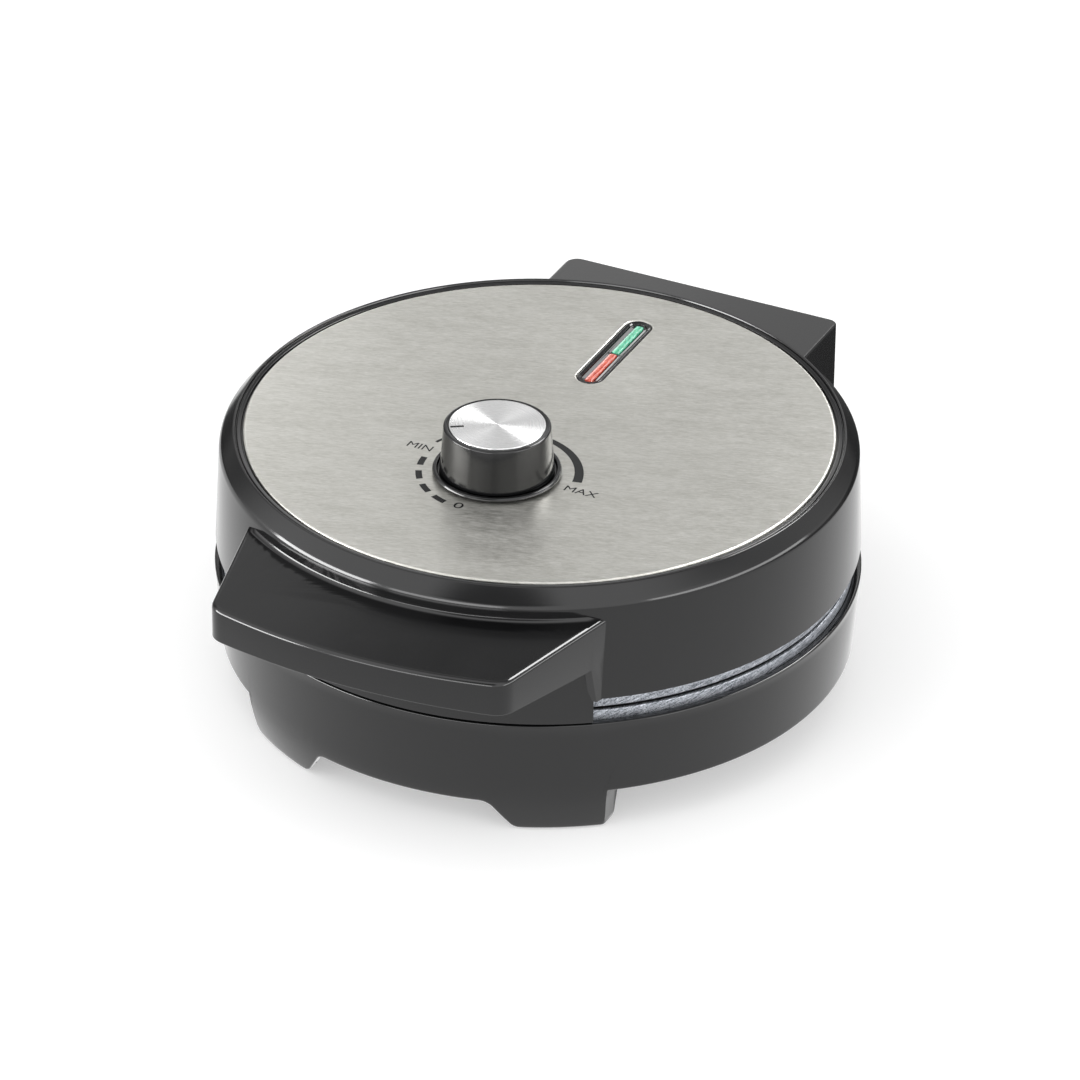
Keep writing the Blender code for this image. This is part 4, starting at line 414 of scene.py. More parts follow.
ZINC = plain_metal("zinc_plated_steel", "#a9aaa6", "#c9cac8", 0.33, 1.5)
ALUMINISED = plain_metal("aluminised_sheet", "#a2a4a6", "#bfc1c3", 0.38, 4.0)
SHEATH = plain_metal("nickel_alloy_sheath", "#5d5f5b", "#777972", 0.45, 2.0)


def plain_body(name, dark, light, gloss, cell, depth=0.03, **more):
    """A dull non-metal with a mottle of one cell size in millimetres."""
    made, tree, shader = finish(name, Metallic=0.0, Roughness=gloss, **more)
    mottle = speckle(tree, object_space(tree), 1000.0 / cell, 3.0)
    tree.links.new(ramp(tree, mottle, dark, light), shader.inputs["Base Color"])
    relief(tree, shader, mottle, 0.3, depth)
    return made


RUBBER = plain_body("moulded_rubber", "#1a1a1a", "#242424", 0.8, 0.8)
CREAM = plain_body("cream_pbt", "#d9d0bc", "#e2dac8", 0.45, 1.2)
STEATITE = plain_body("steatite_ceramic", "#d8d4cb", "#e6e3db", 0.5, 1.0)
INK = plain_body("screen_printed_ink", "#121213", "#19191a", 0.5, 1.0, 0.004, Specular_IOR_Level=0.2)
GLASS = plain_body("neon_lamp_glass", "#e8dccb", "#f2e8da", 0.05, 3.0, 0.0)


def glass_sleeve():
    """Woven glass-fibre sleeve over a wire: a yellowish weave with ribs 0.5 mm apart."""
    made, tree, shader = finish("glass_fibre_sleeve", Metallic=0.0, Roughness=0.75)
    wave = add(tree, "TexWave", {"wave_type": "BANDS", "bands_direction": "DIAGONAL"},
               Vector=object_space(tree), Scale=320.0, Distortion=1.5).outputs["Fac"]
    tree.links.new(ramp(tree, wave, "#c9c0a4", "#e3dcc6"), shader.inputs["Base Color"])
    relief(tree, shader, wave, 0.5, 0.08)
    return made


SLEEVE = glass_sleeve()


def lens_plastic(name, deep, bright):
    """Clear coloured polycarbonate over a white light well: glossy, with a painted glow, a faint even light given off
    in the bright colour as though the lens were lit, and a crystal-like mottle 1 mm across from the facets inside."""
    # Emission_Strength paints a faint glow: the lens gives off a little light of its own though it is no lamp.
    made, tree, shader = finish(
        name, Metallic=0.0, Roughness=0.12, IOR=1.58, Subsurface_Weight=0.25, Subsurface_Scale=1.5 * MM,
        Emission_Strength=0.08,
    )
    facets = speckle(tree, object_space(tree, (1400, 600, 600)), 1.0, 2.0)
    tree.links.new(ramp(tree, stretch(tree, facets, 0, 1, 0.35, 0.65), deep, bright), shader.inputs["Base Color"])
    # The painted glow takes the lens's bright colour.
    shader.inputs["Emission Color"].default_value = linear(bright)
    relief(tree, shader, facets, 0.5, 0.08)
    return made


GREEN = lens_plastic("green_polycarbonate", "#2f9470", "#6fd0aa")
RED = lens_plastic("red_polycarbonate", "#ae3420", "#e0705a")


# Lid

def lid_wall(height):
    """Radius of the lid's drafted wall, a straight line from its foot to its shoulder."""
    return 104.1 - (height - LID_FOOT) * 1.4 / 31.5


def lid_shell():
    """The round shell: a drafted wall, a rolled shoulder, a sloping band, a fine groove, a flat lip and the
    ledge that carries the steel plate, turned round the body's axis."""
    profile = rounded([
        (88.0, 87.6), (95.5, 87.6, 0.15), (95.7, 88.45, 0.25), (96.9, 88.6, 0.3), (97.15, 88.2, 0.05),
        (97.35, 88.2, 0.05), (97.6, 89.0, 0.25), (98.3, 89.0, 0.5), (102.7, 83.95, 4.2),
        (104.1, LID_FOOT, 0.4), (101.9, LID_FOOT, 0.2), (100.2, 80.0, 1.5), (97.2, 85.9, 0.5), (88.0, 85.9),
    ], 8)
    return turned("lid_shell", profile, ends="ring")


def knuckle(name, x):
    """A plate that hangs from the block's top and rounds the hinge line: a straight back and front and
    half a circle below."""
    turn = np.linspace(math.pi, 2 * math.pi, 25)
    low = np.column_stack([HINGE_Y + 5.5 * np.cos(turn), HINGE_Z + 5.5 * np.sin(turn)])
    outline = np.vstack([[(124.0, 57.1), (124.0, 75.6), (108.5, 75.6)], low])
    return lying(name, outline, x)


def lid_housing():
    """Shell and hinge block in one: the block is hollow and open below, with a notch for each ear and a
    plate on each side of it."""
    shell = carve(lid_shell(), [raised("window", oblong((-8, 8), (52, 108), 1), 58, 70)])
    outline = rounded([
        (-BLOCK_HALF, 73, 1), (BLOCK_HALF, 73, 1), (BLOCK_HALF, BLOCK_BACK, 3.2), (-BLOCK_HALF, BLOCK_BACK, 4.5),
    ], 8, closed=True)
    block = raised("block", outline, HINGE_Z, BLOCK_TOP, 0.4, 0.7)
    hollow = raised("hollow", oblong((-46.8, 46.8), (0, 123.5), 1.2), HINGE_Z - 4, 75.0)
    core = turned("core", [(102.2, 0), (102.2, 92.7)])
    notches = [
        lying(f"notch_{side}", oblong((HINGE_Y, 130), (HINGE_Z - 4, HINGE_Z + 9), 1.0),
              sorted((side * 33.4, side * 41.6)))
        for side in (-1, 1)
    ]
    carve(block, [hollow, core, *notches])
    plates = []
    for side in (-1, 1):
        plates.append(knuckle(f"rib_{side}", sorted((side * 28.4, side * 33.4))))
        plates.append(knuckle(f"side_plate_{side}", sorted((side * 41.6, side * 48.7))))
    joined(shell, block, *plates)
    carve(shell, [
        bar(f"pin_bore_{side}", (side * 24.4, HINGE_Y, HINGE_Z), (side * 48.0, HINGE_Y, HINGE_Z), 2.8)
        for side in (-1, 1)
    ])
    return dress(shell, BLACK, "lid", ["lid_housing"])


def handle_side(reach):
    """Half-width of the handle at a distance in front of the axis, narrowing in a straight line."""
    return 62.2 - (reach - 83.47) * 11.2 / 46.13


def handle_edge(back, thinner=0.0):
    """The handle from above: a bowed front on a circle, rounded corners, slanted sides, and an arc along
    the lid's wall behind. Thinner draws each of its sides in by that distance."""
    bow = 191.9
    lean = 11.2 / 46.13
    across = thinner * math.hypot(1, lean)
    reaches = np.linspace(60, 140, 16001)
    wide = handle_side(reaches) - across
    to_front = np.hypot(wide, reaches - (136.5 - bow)) - (bow - thinner)
    to_back = np.hypot(wide, reaches) - (back + thinner)
    front_reach = np.interp(0, to_front, reaches)
    back_reach = np.interp(0, to_back, reaches)
    apex = np.array((handle_side(front_reach) - across, -front_reach))
    tip = np.array((handle_side(back_reach) - across, -back_reach))
    size = max(5.0 - thinner, 0.6) * 0.95
    near = apex + (tip - apex) / np.linalg.norm(tip - apex) * size
    spread = math.asin(apex[0] / (bow - thinner)) - size / (bow - thinner)
    turn = np.linspace(-spread, spread, 60)
    front = np.column_stack([
        (bow - thinner) * np.sin(turn), -136.5 + bow - (bow - thinner) * np.cos(turn)
    ])
    share = np.linspace(0, 1, 12)[1:, None]
    corner = (1 - share) ** 2 * front[-1] + 2 * share * (1 - share) * apex + share ** 2 * near
    side = near + (tip - near) * np.linspace(0, 1, 24)[1:, None]
    lean = math.atan2(tip[0], -tip[1])
    arc = np.linspace(lean, -lean, 90)[1:-1]
    behind = (back + thinner) * np.column_stack([np.sin(arc), -np.cos(arc)])
    right = np.vstack([corner, side])
    return np.vstack([front[1:], right, behind, right[::-1] * (-1, 1), front[:1]])


def handle_top(points):
    """Height of the handle's top: a straight fall of 0.7 mm towards the front."""
    reach = -points[:, 1]
    return 79.4 - (reach - 88.3) * 0.7 / 48.2


def handle_under(points):
    """Height of the handle's lower edge, which rises towards the front."""
    reach = -points[:, 1]
    return 63.3 + (reach - 88.3) * 4.3 / 48.2


def handle_sweep():
    """The back of the handle's top, which turns up against the lid's wall: a quarter of an ellipse, hollow
    side up, 1.8 mm high and 1.5 mm wide. It dies out at both ends."""
    turn = np.radians(np.linspace(-38.5, 38.5, 155))
    share = np.linspace(0, 1, 25) ** 1.5
    end = np.clip((math.radians(36.3) - np.abs(turn)) / math.radians(2.2), 0, 1)[:, None]
    curve = 1.7 * (1 - np.sqrt(1 - (1 - share) ** 2)) + 0.1 * (1 - share)
    reach = np.concatenate([[102.3], 102.7 + share * 1.5, [104.2, 107.2, 107.2, 102.3]])
    rise = np.concatenate([curve[:1], curve, [0.0, -0.06, -2.0, -2.0]]) * np.ones((len(turn), 1))
    rise = np.where(rise > 0, rise * end * end * (3 - 2 * end), rise)
    across, ahead = np.sin(turn)[:, None] * reach, -np.cos(turn)[:, None] * reach
    top = handle_top(np.column_stack([across.ravel(), ahead.ravel()])).reshape(across.shape)
    sweep = solid("sweep", np.dstack([across, ahead, top + rise]))
    plan = raised("plan", lambda thinner: handle_edge(100.0, thinner + 0.9), 70, 90)
    return carve(sweep, [plan], "INTERSECT")


def wall_piece(name, inner, outer, half_width, low, high):
    """Part of a round wall at the front, between two radii."""
    lean = math.asin(half_width / outer)
    turn = np.linspace(-lean, lean, 120)
    circle = lambda radius, turns: np.column_stack([radius * np.sin(turns), -radius * np.cos(turns)])
    outline = np.vstack([circle(outer, turn), circle(inner, turn[::-1])])
    return raised(name, outline, low, high, 0.3, 0.0)


def leg(side):
    """The side wall that carries the slab down to the lid's foot, drawn in towards the bottom."""
    def section(height, reach):
        spots = [(handle_side(y), -y) for y in (79.3, reach)]
        spots += [(handle_side(y) - 2.6, -y) for y in (reach, 79.3)]
        return [(side * x, y, height) for x, y in spots]
    return solid(f"leg_{side}", np.array([section(LID_FOOT, 85.6), section(63.9, 88.4)]))


def lid_handle():
    """Slab, skirt and legs in one, hollow below, with the two screw bosses inside."""
    slab = raised("handle", lambda thinner: handle_edge(100.6, thinner), handle_under, handle_top, 0.5, 1.7)
    hollow = raised(
        "hollow", lambda thinner: handle_edge(104.6, thinner + 2.6), 59.0, lambda at: handle_top(at) - 2.6, 0, 0.8
    )
    carve(slab, [hollow])
    parts = [wall_piece("skirt", 98.1, 104.6, 60.5, 42.7, 63.4), wall_piece("root", 98.1, 104.3, 62.0, LID_FOOT, 78.0)]
    parts += [leg(-1), leg(1), handle_sweep()]
    for side in (-1, 1):
        parts.append(bar(f"boss_{side}", (side * 33, -96.0, 71.2), (side * 33, -110.6, 71.2), 4.0))
    joined(slab, *parts)
    carve(slab, [turned("back", [(102.1, 0), (102.1, 92.7)])])
    carve(slab, [
        bar(f"bore_{side}", (side * 33, -90.0, 71.2), (side * 33, -108.0, 71.2), 1.9, 24) for side in (-1, 1)
    ])
    return dress(slab, BLACK, "lid", ["lid_handle"])


# Steel plate, indicators and dial

def racetrack(half_length, half_width, spacing=0.8):
    """Two straight sides along Y joined by half circles, round the middle of the indicator slot."""
    straight = half_length - half_width
    turn = np.linspace(0, math.pi, 25)
    cap = np.column_stack([half_width * np.cos(turn), half_width * np.sin(turn)])
    return np.vstack([cap + (0, straight), -cap - (0, straight)]) + (0, SLOT_Y)


def steel_plate():
    """The pressed disc: a flat face with a rolled edge, and a slot whose lip rolls down into the hole."""
    profile = rounded([(94.0, 87.65), (95.0, 87.65, 0.1), (95.0, PLATE_TOP, 0.8), (93.9, PLATE_TOP)], 7)
    plate = turned("steel_plate", np.vstack([profile, [(93.7, PLATE_TOP)]]))
    turns = np.linspace(0, math.pi / 2, 6)
    rings = [(racetrack(22.5, 4.55), 87.0), (racetrack(22.5, 4.55), 88.05)]
    rings += [
        (racetrack(22.5 + 0.65 * (1 - math.cos(turn)), 4.55 + 0.65 * (1 - math.cos(turn))), 88.05 + 0.65 * math.sin(turn))
        for turn in turns[1:]
    ]
    rings.append((racetrack(23.2, 5.25), 89.5))
    slot = solid("slot", np.array([np.column_stack([line, np.full(len(line), height)]) for line, height in rings]))
    hole = turned("shaft_hole", [(5.0, 86), (5.0, 90)], 64, (0, KNOB_Y))
    carve(plate, [slot, hole])
    return dress(plate, STEEL, "lid", ["steel_top_plate"], 40)


def carried(name, path, section):
    """A closed section of (sideways, height) carried round a closed path: sideways is the inset of the
    path."""
    rings = [np.column_stack([inset(path, -across), np.full(len(path), height)]) for across, height in section]
    return solid(name, np.array(rings), "ring")


def bezel():
    """The black frame round the lenses: a rounded outer edge, a face that slopes inwards, a step down to a
    second slope and a wall beside the lenses, and a web between them."""
    section = rounded([
        (2.35, 84.4), (-0.6, 84.4), (-0.6, 87.6, 0.1), (0.75, 87.85, 0.1), (0.85, 88.3, 0.12), (2.0, 88.8, 0.3),
        (2.35, 88.35, 0.15),
    ], 4, closed=True)
    framed = carried("bezel", racetrack(20.1, 2.1), section)
    floor = raised("floor", racetrack(21.0, 3.2), 84.4, 85.6)
    web = raised("web", oblong((-2.6, 2.6), (SLOT_Y - 0.45, SLOT_Y + 0.45), 0.2), 84.4, 87.75, 0, 0.1)
    joined(framed, floor, web)
    wells = [
        raised(f"well_{place}", oblong((-0.9, 0.9), (SLOT_Y + place - 6, SLOT_Y + place + 6), 0.5), 80, 90)
        for place in (-10.1, 10.1)
    ]
    carve(framed, wells)
    return dress(framed, BLACK, "lid", ["indicator_bezel"])


def lens(name, y, colour, node):
    """A bar of clear plastic with rolled edges and a crowned top."""
    outline = lambda inwards: oblong(
        (inwards - 1.38, 1.38 - inwards), (y[0] + inwards, y[1] - inwards), max(0.6 - inwards, 0.02)
    )
    crown = lambda at: 87.95 + 0.22 * (1 - (at[:, 0] / 1.38) ** 2)
    rings = list(block_rings(outline, level(85.7), crown, 0, 0.2, 3))
    for step in (0.45, 0.6, 0.8, 1.0, 1.2, 1.33):
        rings.append(np.column_stack([outline(step), crown(outline(step))]))
    return dress(solid(name, np.array(rings)), colour, "lid", [node], 50)


def dial_collar():
    """The low black ring that the knob turns in: a rounded bead and a thin floor inside it."""
    profile = rounded([
        (5.0, 89.0), (19.6, 89.0, 0.1), (20.7, 90.05, 0.4), (20.2, 90.9, 0.4), (19.2, 90.9, 0.35), (18.85, 89.9, 0.1),
        (5.0, 89.9),
    ], 4)
    return dress(turned("collar", profile, 192, (0, KNOB_Y), "ring"), BLACK, "lid", ["dial_collar"])


def knob():
    """The drafted knob with a rolled top edge, hollow below, and the spun disc let into its top."""
    body = rounded([
        (15.55, 105.0), (15.7, 106.0, 0.1), (17.1, 106.15, 0.75), (17.95, 94.0, 0.4), (18.3, 90.6, 0.3),
        (16.3, 90.3), (14.3, 103.0), (5.8, 103.0), (5.8, 90.3), (3.3, 90.3), (3.3, 101.3),
    ], 6)
    dress(turned("knob_grip", body, 192, (0, KNOB_Y)), KNOB_BLACK, "knob", ["knob_body"])
    disc = rounded([(15.2, 105.3), (15.45, 105.3, 0.1), (15.45, 106.3, 0.3), (14.9, 106.3)], 4)
    cap = turned("knob_disc", np.vstack([disc, [(14.8, 106.3)]]), 192, (0, KNOB_Y))
    dress(cap, SPUN, "knob", ["knob_cap"], 50)
    mark = turned_flat(oblong((10.6, 15.0), (-0.5, 0.5), 0.3), math.radians(213)) + (0, KNOB_Y)
    dress(raised("pointer_line", mark, 106.28, 106.32), INK, "knob")


def ring_arc(inner, outer, start, end, steps=60, first_inner=None):
    """A flat arc on the dial between two radii and two angles. Its inner radius may run evenly from a
    first value to the last."""
    turn = np.radians(np.linspace(start, end, steps))
    low = np.linspace(first_inner or inner, inner, steps)
    arc = lambda radius, at: np.column_stack([radius * np.cos(at), KNOB_Y + radius * np.sin(at)])
    return np.vstack([arc(outer, turn), arc(low[::-1], turn[::-1])])


def words(text, centre, height, width):
    """Plain letters as a thin solid, scaled to a height and width and laid on the steel plate."""
    line = bpy.data.curves.new(text, "FONT")
    line.body = text
    line.extrude = 0.01
    helper = bpy.data.objects.new(text, line)
    bpy.context.collection.objects.link(helper)
    graph = bpy.context.evaluated_depsgraph_get()
    mesh = bpy.data.meshes.new_from_object(helper.evaluated_get(graph))
    bpy.data.objects.remove(helper)
    points = np.empty(len(mesh.vertices) * 3)
    mesh.vertices.foreach_get("co", points)
    points = points.reshape(-1, 3)
    low, high = points.min(0), points.max(0)
    points = (points - (low + high) / 2) / (high - low) * (width, height, 0.04)
    points = placed(points + (*centre, PLATE_TOP + 0.015))
    mesh.vertices.foreach_set("co", points.ravel())
    return tidy_mesh("letters", mesh)


def dial_marks():
    """Printed round the knob: four dashes, a band that widens from 1 mm, and MIN, MAX and 0."""
    parts = [
        raised("dash", ring_arc(23.8, 25.9, at - 5.9, at + 5.9, 12), PLATE_TOP - 0.02, PLATE_TOP + 0.03)
        for at in (190, 210, 229.8, 248.6)
    ]
    parts.append(raised("band", ring_arc(24.4, 27.5, 162, 13, 120, 26.5), PLATE_TOP - 0.02, PLATE_TOP + 0.03))
    for text, turn, radius, height, width in (
        ("MIN", 173.7, 29.2, 3.2, 8.4), ("MAX", 1.5, 29.1, 3.2, 11.2), ("0", 266, 24.4, 3.4, 3.1),
    ):
        turn = math.radians(turn)
        centre = (radius * math.cos(turn), KNOB_Y + 0.4 + radius * math.sin(turn))
        parts.append(words(text, centre, height, width))
    first, rest = parts[0], parts[1:]
    with bpy.context.temp_override(active_object=first, object=first, selected_editable_objects=parts):
        bpy.ops.object.join()
    first.name = "dial_marks"
    dress(first, INK, "lid")


# Base

def base_wall(height):
    """Radius of the base's wall: a slight draft above the waist and a tuck of power 1.4 below it."""
    above = 102.6 + (np.maximum(height, 17.0) - 17.0) * 1.9 / 25.1
    below = 3.8 * (np.clip(17.0 - height, 0, 17) / 17.0) ** 1.4
    return above - below


def foot_line():
    """The lower edge of the base over one quarter from the front, as (angle, height): the arch, the
    slope of the foot, its sole, its slanted outer side and the raised edge at the side."""
    corners = [
        (0, 11.4), (29.6, 11.4, 5.0), (36.4, 0.55, 3.4), (61.4, 0.55, 1.0), (63.1, 15.4, 0.7), (66.0, 15.4),
    ]
    front = evenly(rounded(corners, 10), 0.75)
    angle = np.arcsin(front[:, 0] / base_wall(front[:, 1]))
    side = np.linspace(angle[-1], math.pi / 2, 62)[1:]
    return np.vstack([np.column_stack([angle, front[:, 1]]), np.column_stack([side, np.full(len(side), 15.4)])])


def base_shell():
    """The base as one closed grid. Its columns follow the lower edge all the way round. From the middle
    of the underside the rings run to the feet's inner sides, over the soles, round the lower edge on a
    quarter circle, up the wall, over the rim and the ledge, and down inside to the floor."""
    quarter = foot_line()
    half = np.vstack([quarter, (quarter[::-1] * (-1, 1) + (math.pi, 0))[1:]])
    full = np.vstack([half, (half[::-1] * (-1, 1) + (2 * math.pi, 0))[1:-1]])
    angle, edge = full[:, 0], full[:, 1]
    scale = 100.0
    along = np.column_stack([
        np.mod(np.roll(angle, -1) - np.roll(angle, 1), 2 * math.pi) * scale, np.roll(edge, -1) - np.roll(edge, 1)
    ])
    along /= np.linalg.norm(along, axis=1)[:, None]
    inward = np.column_stack([-along[:, 1], along[:, 0]])
    steps = np.linalg.norm(np.column_stack([np.diff(angle, append=2 * math.pi) * scale,
                                            np.diff(edge, append=edge[0])]), axis=1)
    even = np.concatenate([[0], np.cumsum(steps)[:-1]]) / steps.sum() * 2 * math.pi
    roll = 0.8

    def ring(turn, height, depth):
        """Points at an angle and height, a depth inwards from the wall. At the feet, inwards is along Y."""
        radius = base_wall(height)
        x, y = radius * np.sin(turn), -radius * np.cos(turn)
        lean = np.clip((np.abs(np.sin(turn)) - 0.62) / 0.2, 0, 1)
        lean = lean * lean * (3 - 2 * lean)
        way = np.column_stack([-lean * np.sin(turn), (1 - lean) * np.sign(np.cos(turn)) + lean * np.cos(turn)])
        way /= np.linalg.norm(way, axis=1)[:, None]
        return np.column_stack([x + depth * way[:, 0], y + depth * way[:, 1], height + 0 * turn])

    start_turn, start_height = angle + inward[:, 0] * roll / scale, edge + inward[:, 1] * roll
    rings = [ring(angle, np.full(len(angle), 15.4), 8.6)]
    rings.append(ring(angle, np.minimum(15.4, edge + 0.8), 6.9))
    rings.append(ring(angle, edge, 6.4))
    for turn in np.linspace(math.pi / 2, 0, 6):
        out = math.sin(turn) * roll
        rings.append(ring(
            start_turn - inward[:, 0] * out / scale, start_height - inward[:, 1] * out, roll * (1 - math.cos(turn))
        ))
    for share in (0.04, 0.1, 0.2, 0.32, 0.45, 0.6, 0.75, 0.9, 1.0):
        height = start_height + (41.3 - start_height) * share
        blend = share * share * (3 - 2 * share)
        rings.append(ring(start_turn + (even - start_turn) * blend, height, 0.0))
    top = rounded([
        (104.5, 41.3), (104.5, 42.1, 0.65), (102.1, 42.1, 0.2), (102.1, 41.4, 0.1), (99.3, 41.4, 0.2), (99.3, 39.2),
        (101.0, 37.0), (99.9, 18.1, 0.5), (98.5, 17.5), (3.0, 17.5),
    ], 6)[1:]
    for radius, height in top:
        rings.append(np.column_stack([radius * np.sin(even), -radius * np.cos(even), np.full(len(even), height)]))
    return solid("base_shell", np.array(rings), "poles")


def base_housing():
    """The round shell with the hinge block behind it, the two ears, the screw bosses and the bores."""
    shell = base_shell()
    window = raised("window", oblong((-41.5, 41.5), (49, 108.5), 1), 18.1, 28.9)
    carve(shell, [window])
    block = raised("block", oblong((-44, 44), (49, 124), 1.6), 11.4, 31.4, 0.6, 0.8)
    hollow = raised("hollow", oblong((-41.5, 41.5), (0, 121.5), 1.2), 18.1, 28.9)
    carve(block, [hollow, turned("core", [(101.0, 0), (101.0, 42.1)])])
    parts = [block]
    turn = np.linspace(0, math.pi, 25)
    ear = np.vstack([[(108.5, 30.8), (119.5, 30.8)],
                     np.column_stack([HINGE_Y + 5.5 * np.cos(turn), HINGE_Z + 5.5 * np.sin(turn)])])
    for side in (-1, 1):
        parts.append(lying(f"ear_{side}", ear, sorted((side * 34.0, side * 41.0)), 0.4))
    bores = []
    for step in range(4):
        at = math.radians(45 + 90 * step)
        x, y = 91.2 * math.cos(at), 91.2 * math.sin(at)
        parts.append(turned(f"boss_{step}", [(5.3, 15.8), (5.3, 30.3)], 32, (x, y)))
        bores.append(turned(f"bore_{step}", [(3.5, 11), (3.5, 22.3), (1.9, 22.3), (1.9, 34.3)], 32, (x, y)))
    for side in (-1, 1):
        bores.append(bar(f"pin_bore_{side}", (side * 32, HINGE_Y, HINGE_Z), (side * 43, HINGE_Y, HINGE_Z), 2.8))
    bores.append(bar("gland_bore", (-22, 119, 23.2), (-22, 128, 23.2), 4.9))
    for left in (-1, 1):
        for front in (-1, 1):
            lean = math.radians(27.57)
            seat = oblong((-7.3, 7.3), (-2.5, 2.5), 0)
            spot = np.column_stack([
                seat[:, 0] * math.cos(lean) - (seat[:, 1] - 94.8) * -math.sin(lean) * -1,
                seat[:, 0] * math.sin(lean) + (seat[:, 1] - 94.8) * math.cos(lean),
            ])
            bores.append(raised(f"seat_{left}_{front}", spot * (left, front), -1, 2.1))
    joined(shell, *parts)
    carve(shell, bores)
    return dress(shell, BLACK, "base", ["base_housing"])


# Cooking plates

def heart(shrink=0.0, points=96):
    """One heart along +X with its tip towards the middle: x follows four cosines and y the cube of a
    sine. Drawn in, each ray from its centre ends where it first comes within that distance of the line."""
    turn = np.arange(3000) * 2 * math.pi / 3000
    wave = (13 * np.cos(turn) - 5 * np.cos(2 * turn) - 2 * np.cos(3 * turn) - np.cos(4 * turn)) / 29
    centre = np.array((52.0, 0.0))
    line = np.column_stack([8.0 + (wave + 17 / 29) * 81.0, 37.0 * np.sin(turn) ** 3]) - centre
    way = np.arange(points) * 2 * math.pi / points
    ray = np.column_stack([np.cos(way), np.sin(way)])
    along = ray @ line.T
    distance = max(shrink, 0.08)
    room = distance ** 2 - (np.sum(line ** 2, axis=1) - along ** 2)
    reach = np.where((room > 0) & (along > 0), along - np.sqrt(np.maximum(room, 0)), 999).min(axis=1)
    return centre + ray * (reach + (0.08 if shrink == 0 else 0))[:, None]


def turned_flat(points, angle):
    """Flat points turned about the axis."""
    spin = np.array([[math.cos(angle), math.sin(angle)], [-math.sin(angle), math.cos(angle)]])
    return points @ spin


def inside(points, outline):
    """Which points lie inside a closed outline, by the number of its sides to their right."""
    x, y = points[:, :1], points[:, 1:]
    start, end = outline, np.roll(outline, -1, axis=0)
    crosses = (start[:, 1] > y) != (end[:, 1] > y)
    with np.errstate(divide="ignore", invalid="ignore"):
        at = start[:, 0] + (y - start[:, 1]) * (end[:, 0] - start[:, 0]) / (end[:, 1] - start[:, 1])
    return (np.sum(crosses & (x < at), axis=1) % 2) == 1


def stud_field(name, spots, low, high):
    """Small blunt pyramids that press the waffle's grid, as one mesh: a square foot of 5 mm and a square
    top of 3.6 mm."""
    corners = np.array([(-1, -1), (1, -1), (1, 1), (-1, 1)], float)
    foot = spots[:, None] + corners * 2.5
    head = spots[:, None] + corners * 1.8
    points = np.concatenate([
        np.dstack([foot, np.full(foot.shape[:2], low)]), np.dstack([head, np.full(head.shape[:2], high)])
    ], axis=1).reshape(-1, 3)
    box = np.array([(3, 2, 1, 0), (4, 5, 6, 7), (0, 1, 5, 4), (1, 2, 6, 5), (2, 3, 7, 6), (3, 0, 4, 7)])
    faces = (box[None] + 8 * np.arange(len(spots))[:, None, None]).reshape(-1, 4)
    mesh = bpy.data.meshes.new(name)
    mesh.from_pydata(placed(points).tolist(), [], faces.tolist())
    return tidy_mesh(name, mesh)


def cooking_plate(name, face, way, body, node):
    """A cast plate with five heart pockets whose walls draft inwards, studs on their floors, a ring groove
    for the element behind and four bosses. way is -1 where the back looks down."""
    at = lambda depth: face + way * depth
    profile = rounded([
        (100.9, at(0)), (101.85, at(0), 0.45), (101.85, at(3.8), 0.3), (97.0, at(4.1), 1.2), (96.2, at(10.5), 1.0),
        (67.8, at(10.5), 0.5), (67.8, at(14.5), 0.4), (65.6, at(14.5), 0.4), (65.6, at(10.8), 0.3),
        (58.4, at(10.8), 0.3), (58.4, at(14.5), 0.4), (56.2, at(14.5), 0.4), (56.2, at(10.5), 0.5), (50.0, at(10.5)),
    ], 4)
    plate = turned(name, profile, 240)
    angles = [-math.pi / 2 + step * 2 * math.pi / 5 for step in range(5)]
    pockets, studs = [], []
    for step, angle in enumerate(angles):
        levels = [(0.0, -3.0), (0.0, 0.0), (0.5, 0.35), (1.7, 5.6), (2.1, 6.5), (2.9, 6.95), (3.6, 7.0)]
        rings = [np.column_stack([turned_flat(heart(shrink), angle), np.full(96, at(depth))])
                 for shrink, depth in levels]
        pockets.append(solid(f"pocket_{step}", np.array(rings)))
        grid = np.arange(-9, 10) * 10.0 + 5.0
        spots = np.stack(np.meshgrid(grid, grid), axis=-1).reshape(-1, 2)
        spots = spots[inside(spots, turned_flat(heart(5.6), angle))]
        studs.append(stud_field(f"studs_{step}", spots, at(7.4), at(2.8)))
    carve(plate, pockets)
    bosses, bores = [], []
    for step in range(4):
        turn = math.radians(45 + 90 * step)
        centre = (91.2 * math.cos(turn), 91.2 * math.sin(turn))
        bosses.append(turned(f"boss_{step}", [(4.0, at(9.9)), (4.0, at(14.9))], 32, centre))
        bores.append(turned(f"bore_{step}", [(1.9, at(7.9)), (1.9, at(18))], 24, centre))
    joined(plate, *studs, *bosses)
    carve(plate, bores)
    dress(plate, [CASTING, COATING], body, [node])
    points = np.empty(len(plate.data.polygons) * 3)
    plate.data.polygons.foreach_get("center", points)
    normals = np.empty(len(plate.data.polygons) * 3)
    plate.data.polygons.foreach_get("normal", normals)
    points, normals = points.reshape(-1, 3) / MM - (0, AXIS_Y, 0), normals.reshape(-1, 3)
    depth = (points[:, 2] - face) * way
    radius = np.linalg.norm(points[:, :2], axis=1)
    coated = (depth < 7.3) & (radius < 100.9) & (normals[:, 2] * way < 0.35)
    plate.data.polygons.foreach_set("material_index", coated.astype(np.int32))
    return plate


lid_housing()
lid_handle()
steel_plate()
bezel()
lens("red_lens_bar", (35.75, 55.2), RED, "red_lens")
lens("green_lens_bar", (56.2, 75.65), GREEN, "green_lens")
dial_collar()
knob()
dial_marks()
base_housing()
cooking_plate("lower_plate", 45.5, -1, "base", "lower_cooking_plate")
cooking_plate("upper_plate", 46.7, 1, "lid", "upper_cooking_plate")

